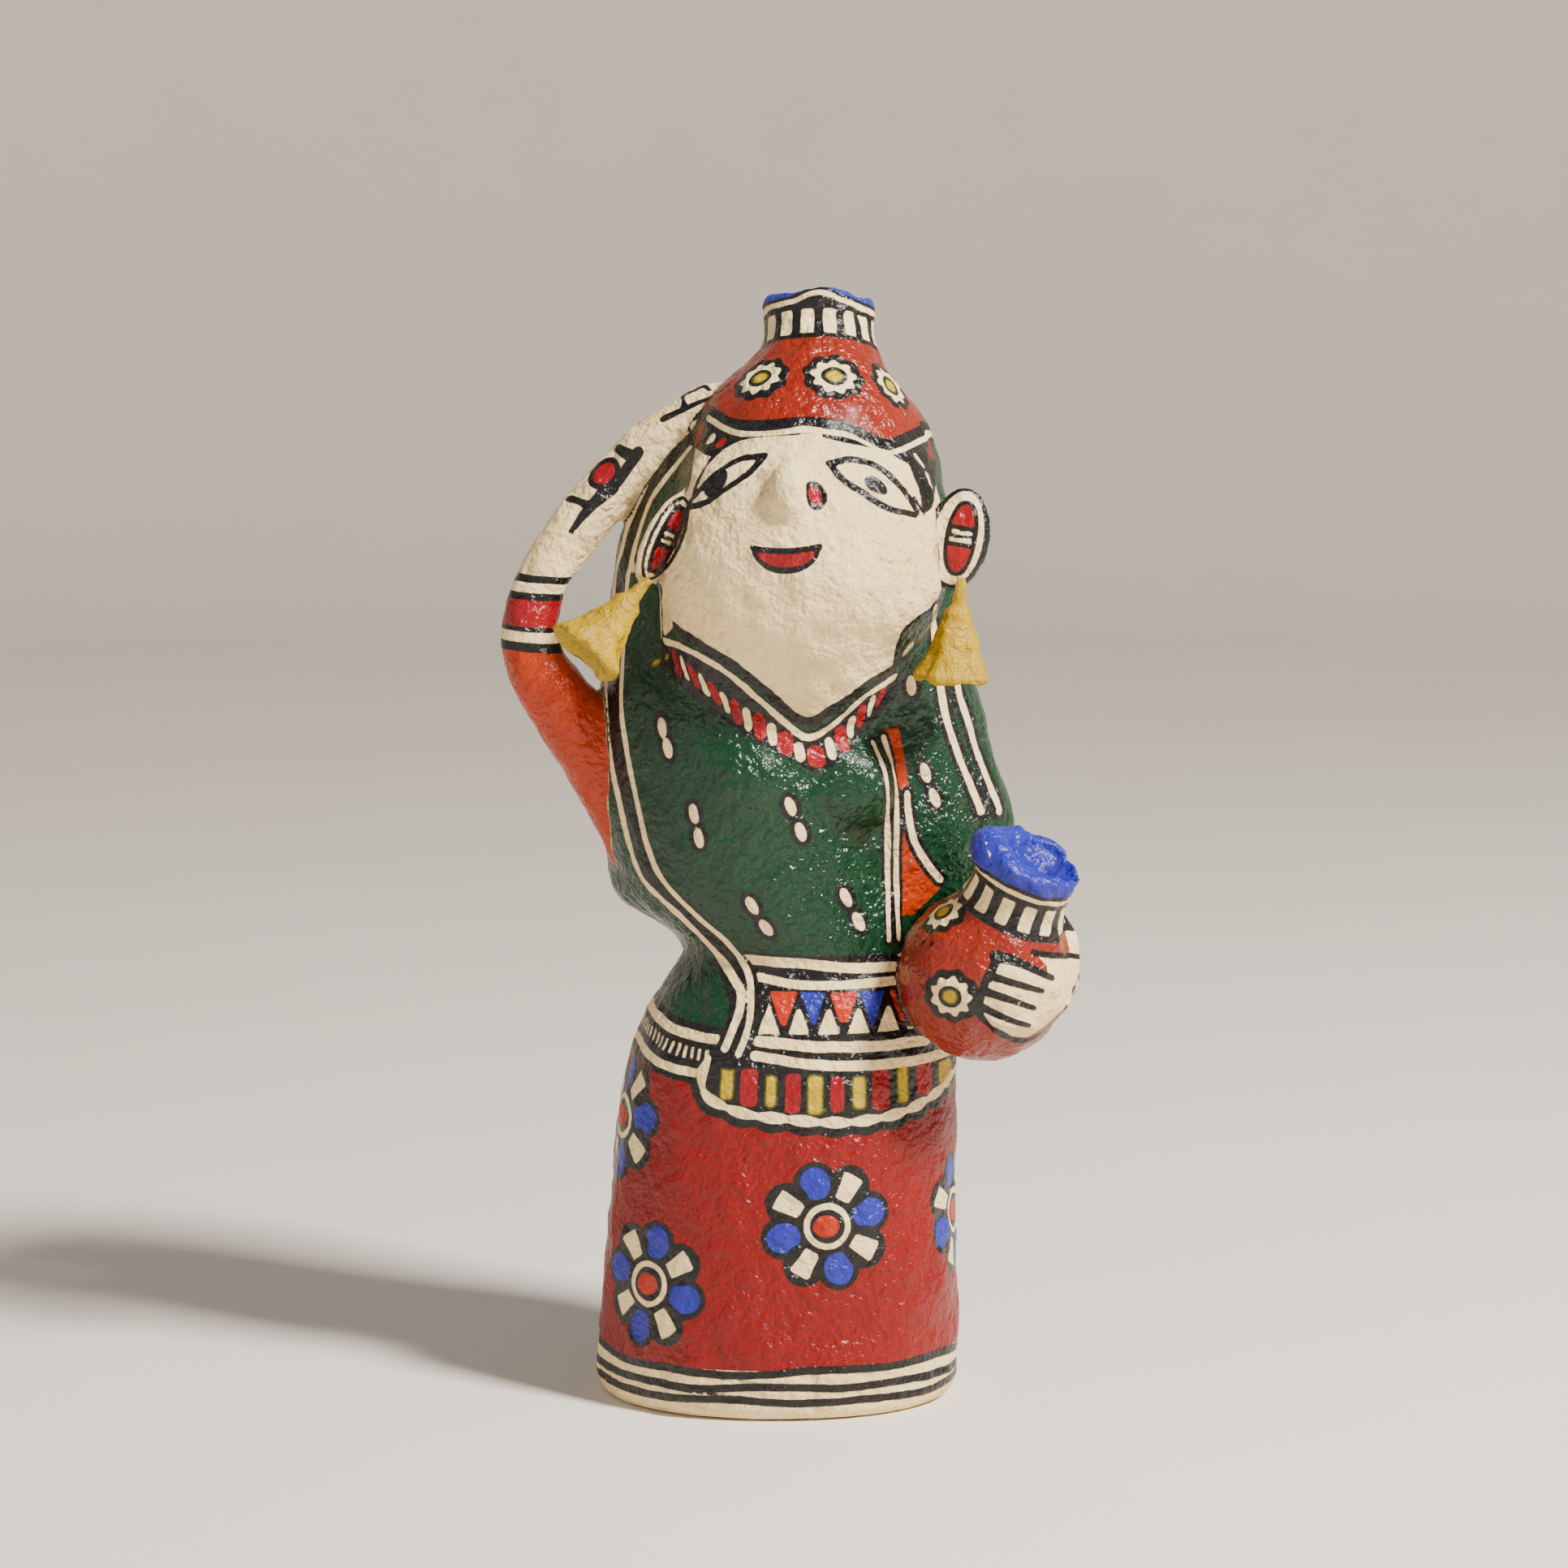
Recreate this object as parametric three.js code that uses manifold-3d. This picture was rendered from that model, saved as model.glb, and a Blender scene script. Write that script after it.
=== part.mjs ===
// A papier-mache water carrier: a woman in a skirt, a blouse and a veil, who steadies one pot on her
// head with a raised hand and holds a second pot at her hip. Two paper bells hang from her ears.
//
// Millimetres, +Z up. The origin is the middle of the flat foot, the figure faces -Y, and +X is on the
// right of someone who looks at her face. Paper pulp, pots, arms and veil dry into one piece, so they
// are one solid; only the two ear bells are pieces of their own.

import * as THREE from 'three';
import { LoftGeometry } from 'three/addons/geometries/LoftGeometry.js';
import { mergeVertices } from 'three/addons/utils/BufferGeometryUtils.js';
import Module from 'manifold-3d';

const wasm = await Module();
wasm.setup();

// ---- driving sizes ---------------------------------------------------------------------------

const SKIRT_HEIGHT = 103; // floor to the waist
const FOOT_HALF = { width: 41.9, depth: 36 };
const WAIST_HALF = { width: 28.8, depth: 23.5 };
const HEAD_POT = { belly: 27.5, neck: 12.6, lip: 13.4, mouth: 9.5, dish: 5 };
const HIP_POT = { belly: 19.6, neck: 11.3, lip: 12.8, mouth: 9.6, dish: 6 };
const ARM_RADIUS = 6.5;
const EAR_HALF = { width: 7, height: 12, thickness: 2.6 };
const BELL = { height: 17.5, skirt: 8.9, neck: 1.5, stem: 6, hollow: 2.4 };
const BELL_GAP = 0.35; // between a bell's stem and the ear it hangs from

// ---- shaping helpers -------------------------------------------------------------------------

/** A closed geometry as a solid that can be joined and cut. */
function solid(geometry, matrix = new THREE.Matrix4()) {
  const bare = new THREE.BufferGeometry();
  bare.setAttribute('position', geometry.getAttribute('position').clone());
  bare.setIndex(geometry.index);
  const merged = mergeVertices(bare.applyMatrix4(matrix), 1e-3);
  const vertProperties = merged.getAttribute('position').array;
  const triVerts = new Uint32Array(merged.index.array);
  return new wasm.Manifold(new wasm.Mesh({ numProp: 3, vertProperties, triVerts }));
}

/** A solid back as a geometry for a mesh. */
function geometryOf(shape) {
  const { vertProperties, triVerts } = shape.getMesh();
  const geometry = new THREE.BufferGeometry();
  geometry.setAttribute('position', new THREE.BufferAttribute(new Float32Array(vertProperties), 3));
  geometry.setIndex(new THREE.BufferAttribute(new Uint32Array(triVerts), 1));
  geometry.computeVertexNormals();
  return geometry;
}

/** Rows of numbers, three columns from `first`, as a smooth curve through them. */
function curveThrough(rows, first) {
  const points = rows.map((row) => new THREE.Vector3(...row.slice(first, first + 3)));
  return new THREE.CatmullRomCurve3(points, false, 'catmullrom', 0.5);
}

/**
 * A body lofted through oval rings. Each station is a row:
 * [centre x, centre y, centre z, half width, half depth, backward lean in degrees].
 */
function stack(stations, { sides, steps, squareness = 2 }) {
  const centres = curveThrough(stations, 0);
  const sizes = curveThrough(stations, 3);
  const count = (stations.length - 1) * steps;
  const rings = Array.from({ length: count + 1 }, (_, i) => {
    const centre = centres.getPoint(i / count);
    const size = sizes.getPoint(i / count);
    const lean = THREE.MathUtils.degToRad(-size.z);
    return Array.from({ length: sides }, (_, j) => {
      const angle = (j / sides) * 2 * Math.PI;
      const round = (value) => Math.sign(value) * Math.abs(value) ** (2 / squareness);
      return new THREE.Vector3(size.x * round(Math.cos(angle)), size.y * round(Math.sin(angle)), 0)
        .applyAxisAngle(new THREE.Vector3(1, 0, 0), lean)
        .add(centre);
    });
  });
  return solid(new LoftGeometry(rings, { capStart: true, capEnd: true }));
}

/** A limb swept along a path with a radius at each point. Each row: [x, y, z, radius, 0, 0]. */
function limb(path, { sides, steps }) {
  const line = curveThrough(path, 0);
  const radii = curveThrough(path, 3);
  const count = (path.length - 1) * steps;
  const { normals, binormals } = line.computeFrenetFrames(count, false);
  const rings = Array.from({ length: count + 1 }, (_, i) => {
    const t = line.getUtoTmapping(i / count);
    const centre = line.getPoint(t);
    const radius = radii.getPoint(t).x;
    return Array.from({ length: sides }, (_, j) => {
      const angle = (j / sides) * 2 * Math.PI;
      return centre
        .clone()
        .addScaledVector(normals[i], radius * Math.cos(angle))
        .addScaledVector(binormals[i], radius * Math.sin(angle));
    });
  });
  return solid(new LoftGeometry(rings, { capStart: true, capEnd: true }));
}

/** An egg of pulp: an ellipsoid at a place, turned by Euler angles in degrees. */
function lump(centre, half, turn = [0, 0, 0], detail = 14) {
  const angles = turn.map(THREE.MathUtils.degToRad);
  const matrix = new THREE.Matrix4().compose(
    new THREE.Vector3(...centre),
    new THREE.Quaternion().setFromEuler(new THREE.Euler(...angles)),
    new THREE.Vector3(...half),
  );
  return solid(new THREE.SphereGeometry(1, detail, Math.round(detail * 0.7)), matrix);
}

/** A turned body: [radius, height] pairs about +Z, from the axis back to the axis. */
function turned(profile, segments, matrix) {
  const points = profile.map(([radius, height]) => new THREE.Vector2(radius, height));
  const uprightToZ = new THREE.Matrix4().makeRotationX(Math.PI / 2);
  const lathe = new THREE.LatheGeometry(points, segments);
  return solid(lathe, matrix.clone().multiply(uprightToZ));
}

/** A frame whose +Z points along `axis`, with its origin at `origin`. */
function along(origin, axis) {
  const direction = new THREE.Vector3(...axis).normalize();
  const turn = new THREE.Quaternion().setFromUnitVectors(new THREE.Vector3(0, 0, 1), direction);
  return new THREE.Matrix4().compose(new THREE.Vector3(...origin), turn, new THREE.Vector3(1, 1, 1));
}

const joined = (shapes) => shapes.reduce((whole, shape) => whole.add(shape));

// ---- the figure ------------------------------------------------------------------------------

/** Skirt: a slightly lopsided oval drum that narrows quickly into the waist. */
function skirt() {
  const { width, depth } = FOOT_HALF;
  const h = SKIRT_HEIGHT;
  return stack(
    [
      [-0.1, 0, 0, width - 1.4, depth - 1.4, 0],
      [-0.1, 0, 0.03 * h, width, depth, 0],
      [0.4, 0, 0.18 * h, width - 0.5, depth - 0.3, 0],
      [1.2, 0, 0.39 * h, width - 1.1, depth - 1, 0],
      [1.9, 0, 0.55 * h, width - 2.1, depth - 2, 0],
      [2.6, -0.5, 0.68 * h, width - 2.9, depth - 3, 0],
      [3.8, -0.5, 0.78 * h, width - 4.2, depth - 4.2, 0],
      [4.8, -0.5, 0.855 * h, width - 6.4, depth - 6.2, 0],
      [6.4, -0.5, 0.93 * h, width - 9.6, depth - 9.4, 0],
      [8.2, -0.5, h, WAIST_HALF.width, WAIST_HALF.depth, 0],
    ],
    { sides: 38, steps: 1, squareness: 2.15 },
  );
}

/** Trunk: the blouse, from the waist to the shoulders, set over to the raised arm's side. */
function trunk() {
  const z = SKIRT_HEIGHT;
  const bust = [
    [-7, -19.4, z + 41.5],
    [15, -15.6, z + 40],
  ];
  return joined([
    stack(
      [
        [8.2, -0.5, z - 4, WAIST_HALF.width - 0.4, WAIST_HALF.depth, 0],
        [6.6, -0.8, z + 3, WAIST_HALF.width + 0.4, WAIST_HALF.depth + 0.6, 0],
        [-0.6, -1, z + 14, 33.4, 25.4, 0],
        [-4.4, -1, z + 24, 33.4, 26.2, 0],
        [-6.2, -1, z + 36, 33.6, 26.4, 0],
        [-7, -1, z + 50, 33.2, 25.2, 0],
        [-6.5, 0, z + 62, 32.6, 23, 0],
        [-4, 2, z + 74, 31, 20, 0],
      ],
      { sides: 30, steps: 2 },
    ),
    ...bust.map((centre) => lump(centre, [12.5, 10, 12], [0, 0, 0], 12)),
  ]);
}

/** Veil: a cloak that falls from the crown over both shoulders and flares above the hip pot. */
function veil() {
  const z = SKIRT_HEIGHT;
  return stack(
    [
      [9, 4, z + 2, 30, 18, 0],
      [8.4, 4, z + 8.5, 40.8, 20, 0],
      [7.8, 4, z + 14, 46, 22, 0],
      [7.6, 4, z + 27, 48, 22.5, 0],
      [4.8, 4, z + 40, 46.4, 22.5, 0],
      [3, 4.5, z + 53, 44.6, 22.6, 0],
      [2.5, 4.5, z + 65, 42.8, 23.4, 0],
      [2.2, 5.5, z + 80, 40.6, 24.5, 0],
      [2, 6, z + 94, 38.4, 25.6, 0],
      [3, 6, z + 107, 35, 26, 2],
      [5, 6, z + 116, 31, 25, 5],
      [7.4, 5, z + 124, 25.4, 21, 8],
      [8, 5, z + 128, 18, 15, 10],
    ],
    { sides: 34, steps: 2 },
  );
}

/** Head and neck: a broad face that looks up, on a neck nearly as wide as the jaw. */
function head() {
  return joined([
    stack(
      [
        [1, -4, 152, 23, 18, 0],
        [1, -7, 162, 26.2, 20.4, 0],
        [1.4, -10, 170, 27.6, 23, 0],
        [3, -12, 177, 29.4, 25.4, 0],
        [4.8, -13.4, 183, 32, 27, 0],
        [5.3, -14, 189, 33, 27.9, 0],
        [5.4, -14.2, 196, 32.6, 28.2, 0],
        [5.8, -13.6, 204, 31, 27.4, 0],
        [6.6, -12.2, 212, 28.6, 25.2, 0],
        [7.6, -9.8, 220, 25.4, 21, 0],
        [8, -7, 226, 17, 14, 0],
      ],
      { sides: 30, steps: 2 },
    ),
    lump([2.6, -38.2, 212.2], [4.4, 5.2, 7.4], [-20, 0, 6], 12),
  ]);
}

/** Ears: broad flat discs on the sides of the head, `side` -1 for the raised arm's side. */
function ear(side) {
  const { width, height, thickness } = EAR_HALF;
  const place = side > 0 ? [40.8, -19.6, 199.6] : [-25.4, -21.5, 199.4];
  const turn = side > 0 ? [-4, 10, -8] : [-4, 27, 54];
  return lump(place, [width, thickness, height], turn, 18);
}

/** Head pot: a low dome worn like a cap, whose neck and mouth lean back. */
function headPot() {
  const { belly, neck, lip, mouth, dish } = HEAD_POT;
  const body = stack(
    [
      [7.6, -1.6, 215.5, belly - 3, belly - 2.6, -6],
      [7.6, -1.6, 219.5, belly - 0.3, belly, -6],
      [7, -1.2, 224, belly - 1, belly - 0.6, -4],
      [6.8, -0.4, 229, belly - 4, belly - 3.4, 2],
      [7.6, 0.8, 235, belly - 9.6, belly - 8.4, 9],
      [9, 2.4, 240, neck + 1.2, neck + 1.6, 15],
      [9.3, 3.6, 243, neck, neck, 19],
      [9.3, 5, 247, neck + 0.4, neck + 0.4, 20],
      [9.3, 6.1, 250, lip, lip, 20],
      [9.3, 6.6, 251.4, lip - 1, lip - 1, 20],
    ],
    { sides: 28, steps: 2 },
  );
  return body.subtract(lump([9.3, 6.8, 252], [mouth, mouth, dish], [-20, 0, 0], 16));
}

/** Hip pot: a round water pot, tipped outwards and a little forward, with a dished mouth. */
function hipPot() {
  const { belly, neck, lip, mouth, dish } = HIP_POT;
  const frame = along([47, -25.5, 101.2], [0.345, -0.25, 0.905]);
  const round = (degrees) => {
    const angle = THREE.MathUtils.degToRad(degrees);
    return [belly * Math.cos(angle), belly * 1.02 * Math.sin(angle)];
  };
  const profile = [
    [0, -belly * 1.02],
    ...[-70, -52, -35, -18, 0, 15, 29, 42].map(round),
    [neck + 1.6, 0.8 * belly],
    [neck + 0.2, 0.98 * belly],
    [neck, 1.24 * belly],
    [lip - 0.2, 1.42 * belly],
    [lip + 0.1, 1.55 * belly],
    [lip - 1.3, 1.63 * belly],
    [0, 1.63 * belly],
  ];
  const hollow = new THREE.Vector3(0, 0, 1.65 * belly).applyMatrix4(frame);
  const tip = new THREE.Euler().setFromRotationMatrix(frame);
  const turn = [tip.x, tip.y, tip.z].map(THREE.MathUtils.radToDeg);
  return turned(profile, 26, frame).subtract(lump(hollow.toArray(), [mouth, mouth, dish], turn, 16));
}

/** Raised arm: out of the veil to the elbow, then back up to a hand laid on the head pot. */
function raisedArm() {
  const r = ARM_RADIUS;
  return limb(
    [
      [-32, 0, 126, r, 0, 0],
      [-36, -1, 137, r + 1.4, 0, 0],
      [-41.4, -2, 148.5, r + 2, 0, 0],
      [-49, -3, 160, r + 1.6, 0, 0],
      [-55.6, -3, 170, r + 0.8, 0, 0],
      [-56.8, -2.6, 179, r + 0.2, 0, 0],
      [-54.6, -2, 187, r, 0, 0],
      [-49.6, -0.6, 195, r + 0.2, 0, 0],
      [-42, 0.8, 204.5, r, 0, 0],
      [-34.5, 1.4, 212.5, r - 0.1, 0, 0],
      [-26.5, 0.8, 220, r - 0.3, 0, 0],
      [-17.5, -1, 227, r - 1.2, 0, 0],
      [-10, -2, 231, r - 3.4, 0, 0],
    ],
    { sides: 14, steps: 2 },
  );
}

/** Lowered arm: it comes out from under the veil, round the hip pot, and ends in an open hand. */
function loweredArm() {
  const r = ARM_RADIUS;
  const forearm = limb(
    [
      [38, 6, 118, r - 1, 0, 0],
      [49, 4, 110, r + 0.5, 0, 0],
      [58.6, -5, 103, r, 0, 0],
      [62.6, -17, 100, r - 0.6, 0, 0],
      [61.4, -28, 97.8, r - 0.8, 0, 0],
      [57, -36, 95.6, r - 1.8, 0, 0],
    ],
    { sides: 14, steps: 2 },
  );
  const thumb = limb(
    [
      [64.6, -25, 100, 3.4, 0, 0],
      [65.8, -26, 105.5, 3.2, 0, 0],
      [65.2, -25, 110.5, 2.8, 0, 0],
      [62.8, -24, 115, 1.8, 0, 0],
    ],
    { sides: 10, steps: 2 },
  );
  return joined([forearm, thumb, ...fingers()]);
}

/** Four fingers laid side by side round the front of the hip pot. */
function fingers() {
  const pitch = 3.4;
  const thickness = 2.1;
  return [0, 1, 2, 3].map((i) => {
    const drop = i * pitch;
    return limb(
      [
        [62.4 - 1.3 * i, -33 - 0.6 * i, 101 - drop * 0.86, thickness, 0, 0],
        [58.6 - 1.2 * i, -38.6 - 0.5 * i, 102.4 - drop * 0.95, thickness, 0, 0],
        [53.6 - 1 * i, -42.4 - 0.3 * i, 103.8 - drop, thickness, 0, 0],
        [49.4 - 0.9 * i, -43.8, 105 - drop, thickness - 0.7, 0, 0],
      ],
      { sides: 8, steps: 2 },
    );
  });
}

// ---- the ear bells ---------------------------------------------------------------------------

/** A bell of twisted paper that hangs down its own -Z from the top of its stem. */
function bell() {
  const { height, skirt: rim, neck, stem, hollow } = BELL;
  const foot = -(stem + height);
  return [
    [0, -BELL_GAP],
    [neck * 0.8, -BELL_GAP],
    [neck, -0.5 * stem],
    [neck * 1.1, -stem],
    [0.36 * rim, -stem - 0.1 * height],
    [0.46 * rim, -stem - 0.3 * height],
    [0.62 * rim, -stem - 0.6 * height],
    [0.86 * rim, -stem - 0.82 * height],
    [rim, foot + 0.08 * height],
    [0.97 * rim, foot],
    [0.8 * rim, foot],
    [0.4 * rim, foot + hollow],
    [0, foot + hollow],
  ].reverse();
}

// ---- assembly --------------------------------------------------------------------------------

/** A named mesh in the group. */
function piece(name, shape, colour, roughness) {
  const material = new THREE.MeshStandardMaterial({ color: colour, roughness, metalness: 0 });
  const mesh = new THREE.Mesh(geometryOf(shape), material);
  mesh.name = name;
  return mesh;
}

const figure = joined([
  skirt(),
  trunk(),
  veil(),
  head(),
  ear(1),
  ear(-1),
  headPot(),
  raisedArm(),
  hipPot(),
  loweredArm(),
]);

const rightBell = turned(bell(), 20, along([41, -23.9, 191.2], [0.07, 0.02, 1]));
const leftBell = turned(bell(), 20, along([-28.5, -25.6, 191.2], [0.66, 0.35, 0.72]));

const waterCarrier = new THREE.Group();
waterCarrier.add(
  piece('figure', figure, 0xb01a12, 0.45),
  piece('ear_bell_raised_arm_side', leftBell, 0xe0b80a, 0.6),
  piece('ear_bell_hip_pot_side', rightBell, 0xe0b80a, 0.6),
);

export default waterCarrier;
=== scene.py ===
# %% [markdown]
# # A papier-mache water carrier
# This lesson dresses a small figure made of paper pulp: a woman in a skirt, a blouse and a veil, with a
# pot on her head, a second pot at her hip and two bells of twisted paper hanging from her ears. The
# solids already exist and are only a frame here. Blender adds what a maker's hands add: soft lumps,
# wrinkles in the drying paper, and layer on layer of brush work under a coat of varnish.
#
# All sizes below are in millimetres until the last moment, because a brush line is easier to think of
# as 1.8 than as 0.0018. +Z is up, the face looks along -Y, and +X is the side of the hip pot.

# %% Load the frame
import math
import bpy
import bmesh
import numpy as np
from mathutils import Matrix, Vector
from mathutils.bvhtree import BVHTree


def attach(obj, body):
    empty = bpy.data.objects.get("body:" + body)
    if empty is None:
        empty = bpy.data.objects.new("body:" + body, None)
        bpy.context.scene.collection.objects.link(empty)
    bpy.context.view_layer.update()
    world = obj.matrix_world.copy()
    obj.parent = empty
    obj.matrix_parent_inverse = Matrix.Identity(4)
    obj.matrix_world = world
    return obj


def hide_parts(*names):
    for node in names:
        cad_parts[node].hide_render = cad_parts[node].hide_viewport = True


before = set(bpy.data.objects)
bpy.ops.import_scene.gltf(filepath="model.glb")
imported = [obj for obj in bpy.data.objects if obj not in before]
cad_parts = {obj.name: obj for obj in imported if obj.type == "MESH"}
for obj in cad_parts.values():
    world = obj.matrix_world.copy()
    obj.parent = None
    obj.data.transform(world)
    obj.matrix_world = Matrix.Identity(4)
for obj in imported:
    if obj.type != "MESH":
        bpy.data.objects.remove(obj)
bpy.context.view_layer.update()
MM = 0.001
print("pieces in the frame:", ", ".join(sorted(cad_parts)))

# %% [markdown]
# ## The camera
# The figure is looked at from a little above its head and straight in front, through a long lens, so
# upright lines stay upright and the face isn't swollen. A long lens is a small angle of view from far
# away, which is how small objects are usually shown.

# %% Camera
view_camera = bpy.data.cameras.new("camera")
view_camera.lens = 126.25
view_camera.sensor_width = 36
camera_object = bpy.data.objects.new("camera", view_camera)
camera_object.location = Vector((1.5, -1250, 315)) * MM
aim = Vector((1.5, 0, 141.1)) * MM
camera_object.rotation_euler = (aim - camera_object.location).to_track_quat("-Z", "Y").to_euler()
bpy.context.scene.collection.objects.link(camera_object)
bpy.context.scene.camera = camera_object
print("camera to figure: %.2f m" % (aim - camera_object.location).length)

# %% [markdown]
# ## From facets to a skin of pulp
# The solid is made of flat facets with hard creases where the masses meet. Wet pulp has neither: every
# joint is smeared over with a thumb. A voxel remesh turns the whole body into one even skin, and
# averaging each point with its neighbours then melts the creases, more where a joint is deep and less
# on the small fingers and the rims, which would melt away.

# %% One even skin
SKIN_PITCH = 0.78
PIPE = bpy.context.evaluated_depsgraph_get


def merged_copy(node, name):
    """A copy of a frame node as one connected mesh."""
    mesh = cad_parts[node].data.copy()
    mesh.name = name
    work = bmesh.new()
    work.from_mesh(mesh)
    bmesh.ops.remove_doubles(work, verts=work.verts, dist=1e-6)
    work.to_mesh(mesh)
    work.free()
    mesh.materials.clear()
    copy = bpy.data.objects.new(name, mesh)
    bpy.context.scene.collection.objects.link(copy)
    return copy


def settle(obj):
    """Applies every modifier of obj, so that only its mesh is left."""
    bpy.context.view_layer.update()
    mesh = bpy.data.meshes.new_from_object(obj.evaluated_get(PIPE()))
    obj.modifiers.clear()
    obj.data = mesh
    return obj


def remeshed(obj, pitch):
    """obj as an even skin of small faces, pitch millimetres across."""
    remesh = obj.modifiers.new("even skin", "REMESH")
    remesh.mode = "VOXEL"
    remesh.voxel_size = pitch * MM
    return settle(obj)


figure = remeshed(merged_copy("figure", "painted_figure"), SKIN_PITCH)
print("skin:", len(figure.data.vertices), "points")

# %% Reading and writing a skin


def points_of(obj):
    """Every point of the skin, in millimetres."""
    flat = np.empty(len(obj.data.vertices) * 3)
    obj.data.vertices.foreach_get("co", flat)
    return flat.reshape(-1, 3) / MM


def put_points(obj, points):
    obj.data.vertices.foreach_set("co", (points * MM).ravel())
    obj.data.update()


def normals_of(obj):
    """The direction that every point faces."""
    flat = np.empty(len(obj.data.vertices) * 3)
    obj.data.vertex_normals.foreach_get("vector", flat)
    return flat.reshape(-1, 3)


def ramp(value, start, end):
    """0 at start, 1 at end, and a soft S between."""
    t = np.clip((value - start) / (end - start), 0, 1)
    return t * t * (3 - 2 * t)


def melt(obj, rounds, strength):
    """Averages each point with its neighbours. strength is a number from 0 to 1, or one for each point."""
    points = points_of(obj)
    edges = np.empty(len(obj.data.edges) * 2, int)
    obj.data.edges.foreach_get("vertices", edges)
    a, b = edges.reshape(-1, 2).T
    count = np.bincount(a, minlength=len(points)) + np.bincount(b, minlength=len(points))
    strength = np.broadcast_to(np.asarray(strength, float), len(points))[:, None]
    for _ in range(rounds):
        mean = np.stack(
            [
                np.bincount(a, points[b, k], len(points)) + np.bincount(b, points[a, k], len(points))
                for k in range(3)
            ],
            1,
        ) / count[:, None]
        points = points + strength * (mean - points)
    put_points(obj, points)


# %% [markdown]
# ## Which mass a point belongs to
# The paint follows the masses: skirt, trunk, veil, head, ears, arms and the two pots. Each mass is a
# simple shape, so a rough distance to its surface can be worked out for every point, and a point
# belongs to the mass whose surface is nearest. The tables repeat the sizes of the solids: height,
# middle, half width and half depth for the lofted masses, and a path with a radius for the limbs.

# %% Shapes of the masses
SKIRT = [(0, -0.1, 0, 41.9, 36), (40, 1.2, 0, 40.8, 35), (70, 2.6, -0.5, 39, 33), (80, 3.8, -0.5, 37.7, 31.8),
         (88, 4.8, -0.5, 35.5, 29.8), (96, 6.4, -0.5, 32.3, 26.6), (103, 8.2, -0.5, 28.8, 23.5)]
TRUNK = [(103, 7.5, -0.6, 29, 23.8), (106, 6.6, -0.8, 29.2, 24.1), (117, -0.6, -1, 33.4, 25.4),
         (127, -4.4, -1, 33.4, 26.2), (139, -6.2, -1, 33.6, 26.4), (153, -7, -1, 33.2, 25.2),
         (165, -6.5, 0, 32.6, 23), (177, -4, 2, 31, 20)]
VEIL = [(105, 9, 4, 30, 18), (111.5, 8.4, 4, 40.8, 20), (117, 7.8, 4, 46, 22), (130, 7.6, 4, 48, 22.5),
        (143, 4.8, 4, 46.4, 22.5), (156, 3, 4.5, 44.6, 22.6), (168, 2.5, 4.5, 42.8, 23.4),
        (183, 2.2, 5.5, 40.6, 24.5), (197, 2, 6, 38.4, 25.6), (210, 3, 6, 35, 26), (219, 5, 6, 31, 25),
        (227, 7.4, 5, 25.4, 21), (231, 8, 5, 18, 15)]
HEAD = [(152, 1, -4, 23, 18), (162, 1, -7, 26.2, 20.4), (170, 1.4, -10, 27.6, 23), (177, 3, -12, 29.4, 25.4),
        (183, 4.8, -13.4, 32, 27), (189, 5.3, -14, 33, 27.9), (196, 5.4, -14.2, 32.6, 28.2),
        (204, 5.8, -13.6, 31, 27.4), (212, 6.6, -12.2, 28.6, 25.2), (220, 7.6, -9.8, 25.4, 21),
        (226, 8, -7, 17, 14)]
RAISED_ARM = [(-32, 0, 126, 6.5), (-36, -1, 137, 7.9), (-41.4, -2, 148.5, 8.5), (-49, -3, 160, 8.1),
              (-55.6, -3, 170, 7.3), (-56.8, -2.6, 179, 6.7), (-54.6, -2, 187, 6.5), (-49.6, -0.6, 195, 6.7),
              (-42, 0.8, 204.5, 6.5), (-34.5, 1.4, 212.5, 6.4), (-26.5, 0.8, 220, 6.2), (-17.5, -1, 227, 5.3),
              (-10, -2, 231, 3.1)]
POT_RINGS = [(215.5, 7.6, -1.6, 24.5, 24.9), (219.5, 7.6, -1.6, 27.2, 27.5), (224, 7, -1.2, 26.5, 26.9),
             (229, 6.8, -0.4, 23.5, 24.1), (235, 7.6, 0.8, 17.9, 19.1), (240, 9, 2.4, 13.8, 14.2),
             (247, 9.3, 5, 13, 13), (256, 9.3, 8, 13.4, 13.4)]
LOW_ARM = [(49, 4, 110, 7), (58.6, -5, 103, 6.5), (62.6, -17, 100, 5.9), (61.4, -28, 97.8, 5.7),
           (57, -36, 95.6, 4.7)]
THUMB = [(64.6, -25, 100, 3.4), (65.8, -26, 105.5, 3.2), (65.2, -25, 110.5, 2.8), (62.8, -24, 115, 1.8)]
HEAD_POT = {"foot": Vector((9.3, 3.6, 243)), "axis": Vector((0, 0.34, 0.94)).normalized()}
HIP_POT = {"foot": Vector((47, -25.5, 101.2)), "axis": Vector((0.345, -0.25, 0.905)).normalized(), "belly": 19.6}
EARS = {"hip": (Vector((40.8, -19.6, 199.6)), (-4, 10, -8)), "arm": (Vector((-25.4, -21.5, 199.4)), (-4, 27, 54))}
FINGER_PITCH = 3.4


def fingers():
    """The middle line of each of the four fingers on the hip pot."""
    for i in range(4):
        drop = i * FINGER_PITCH
        yield [(62.4 - 1.3 * i, -33 - 0.6 * i, 101 - drop * 0.86, 2.1),
               (58.6 - 1.2 * i, -38.6 - 0.5 * i, 102.4 - drop * 0.95, 2.1),
               (53.6 - i, -42.4 - 0.3 * i, 103.8 - drop, 2.1),
               (49.4 - 0.9 * i, -43.8, 105 - drop, 1.4)]


# %% Distances to the masses


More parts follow.
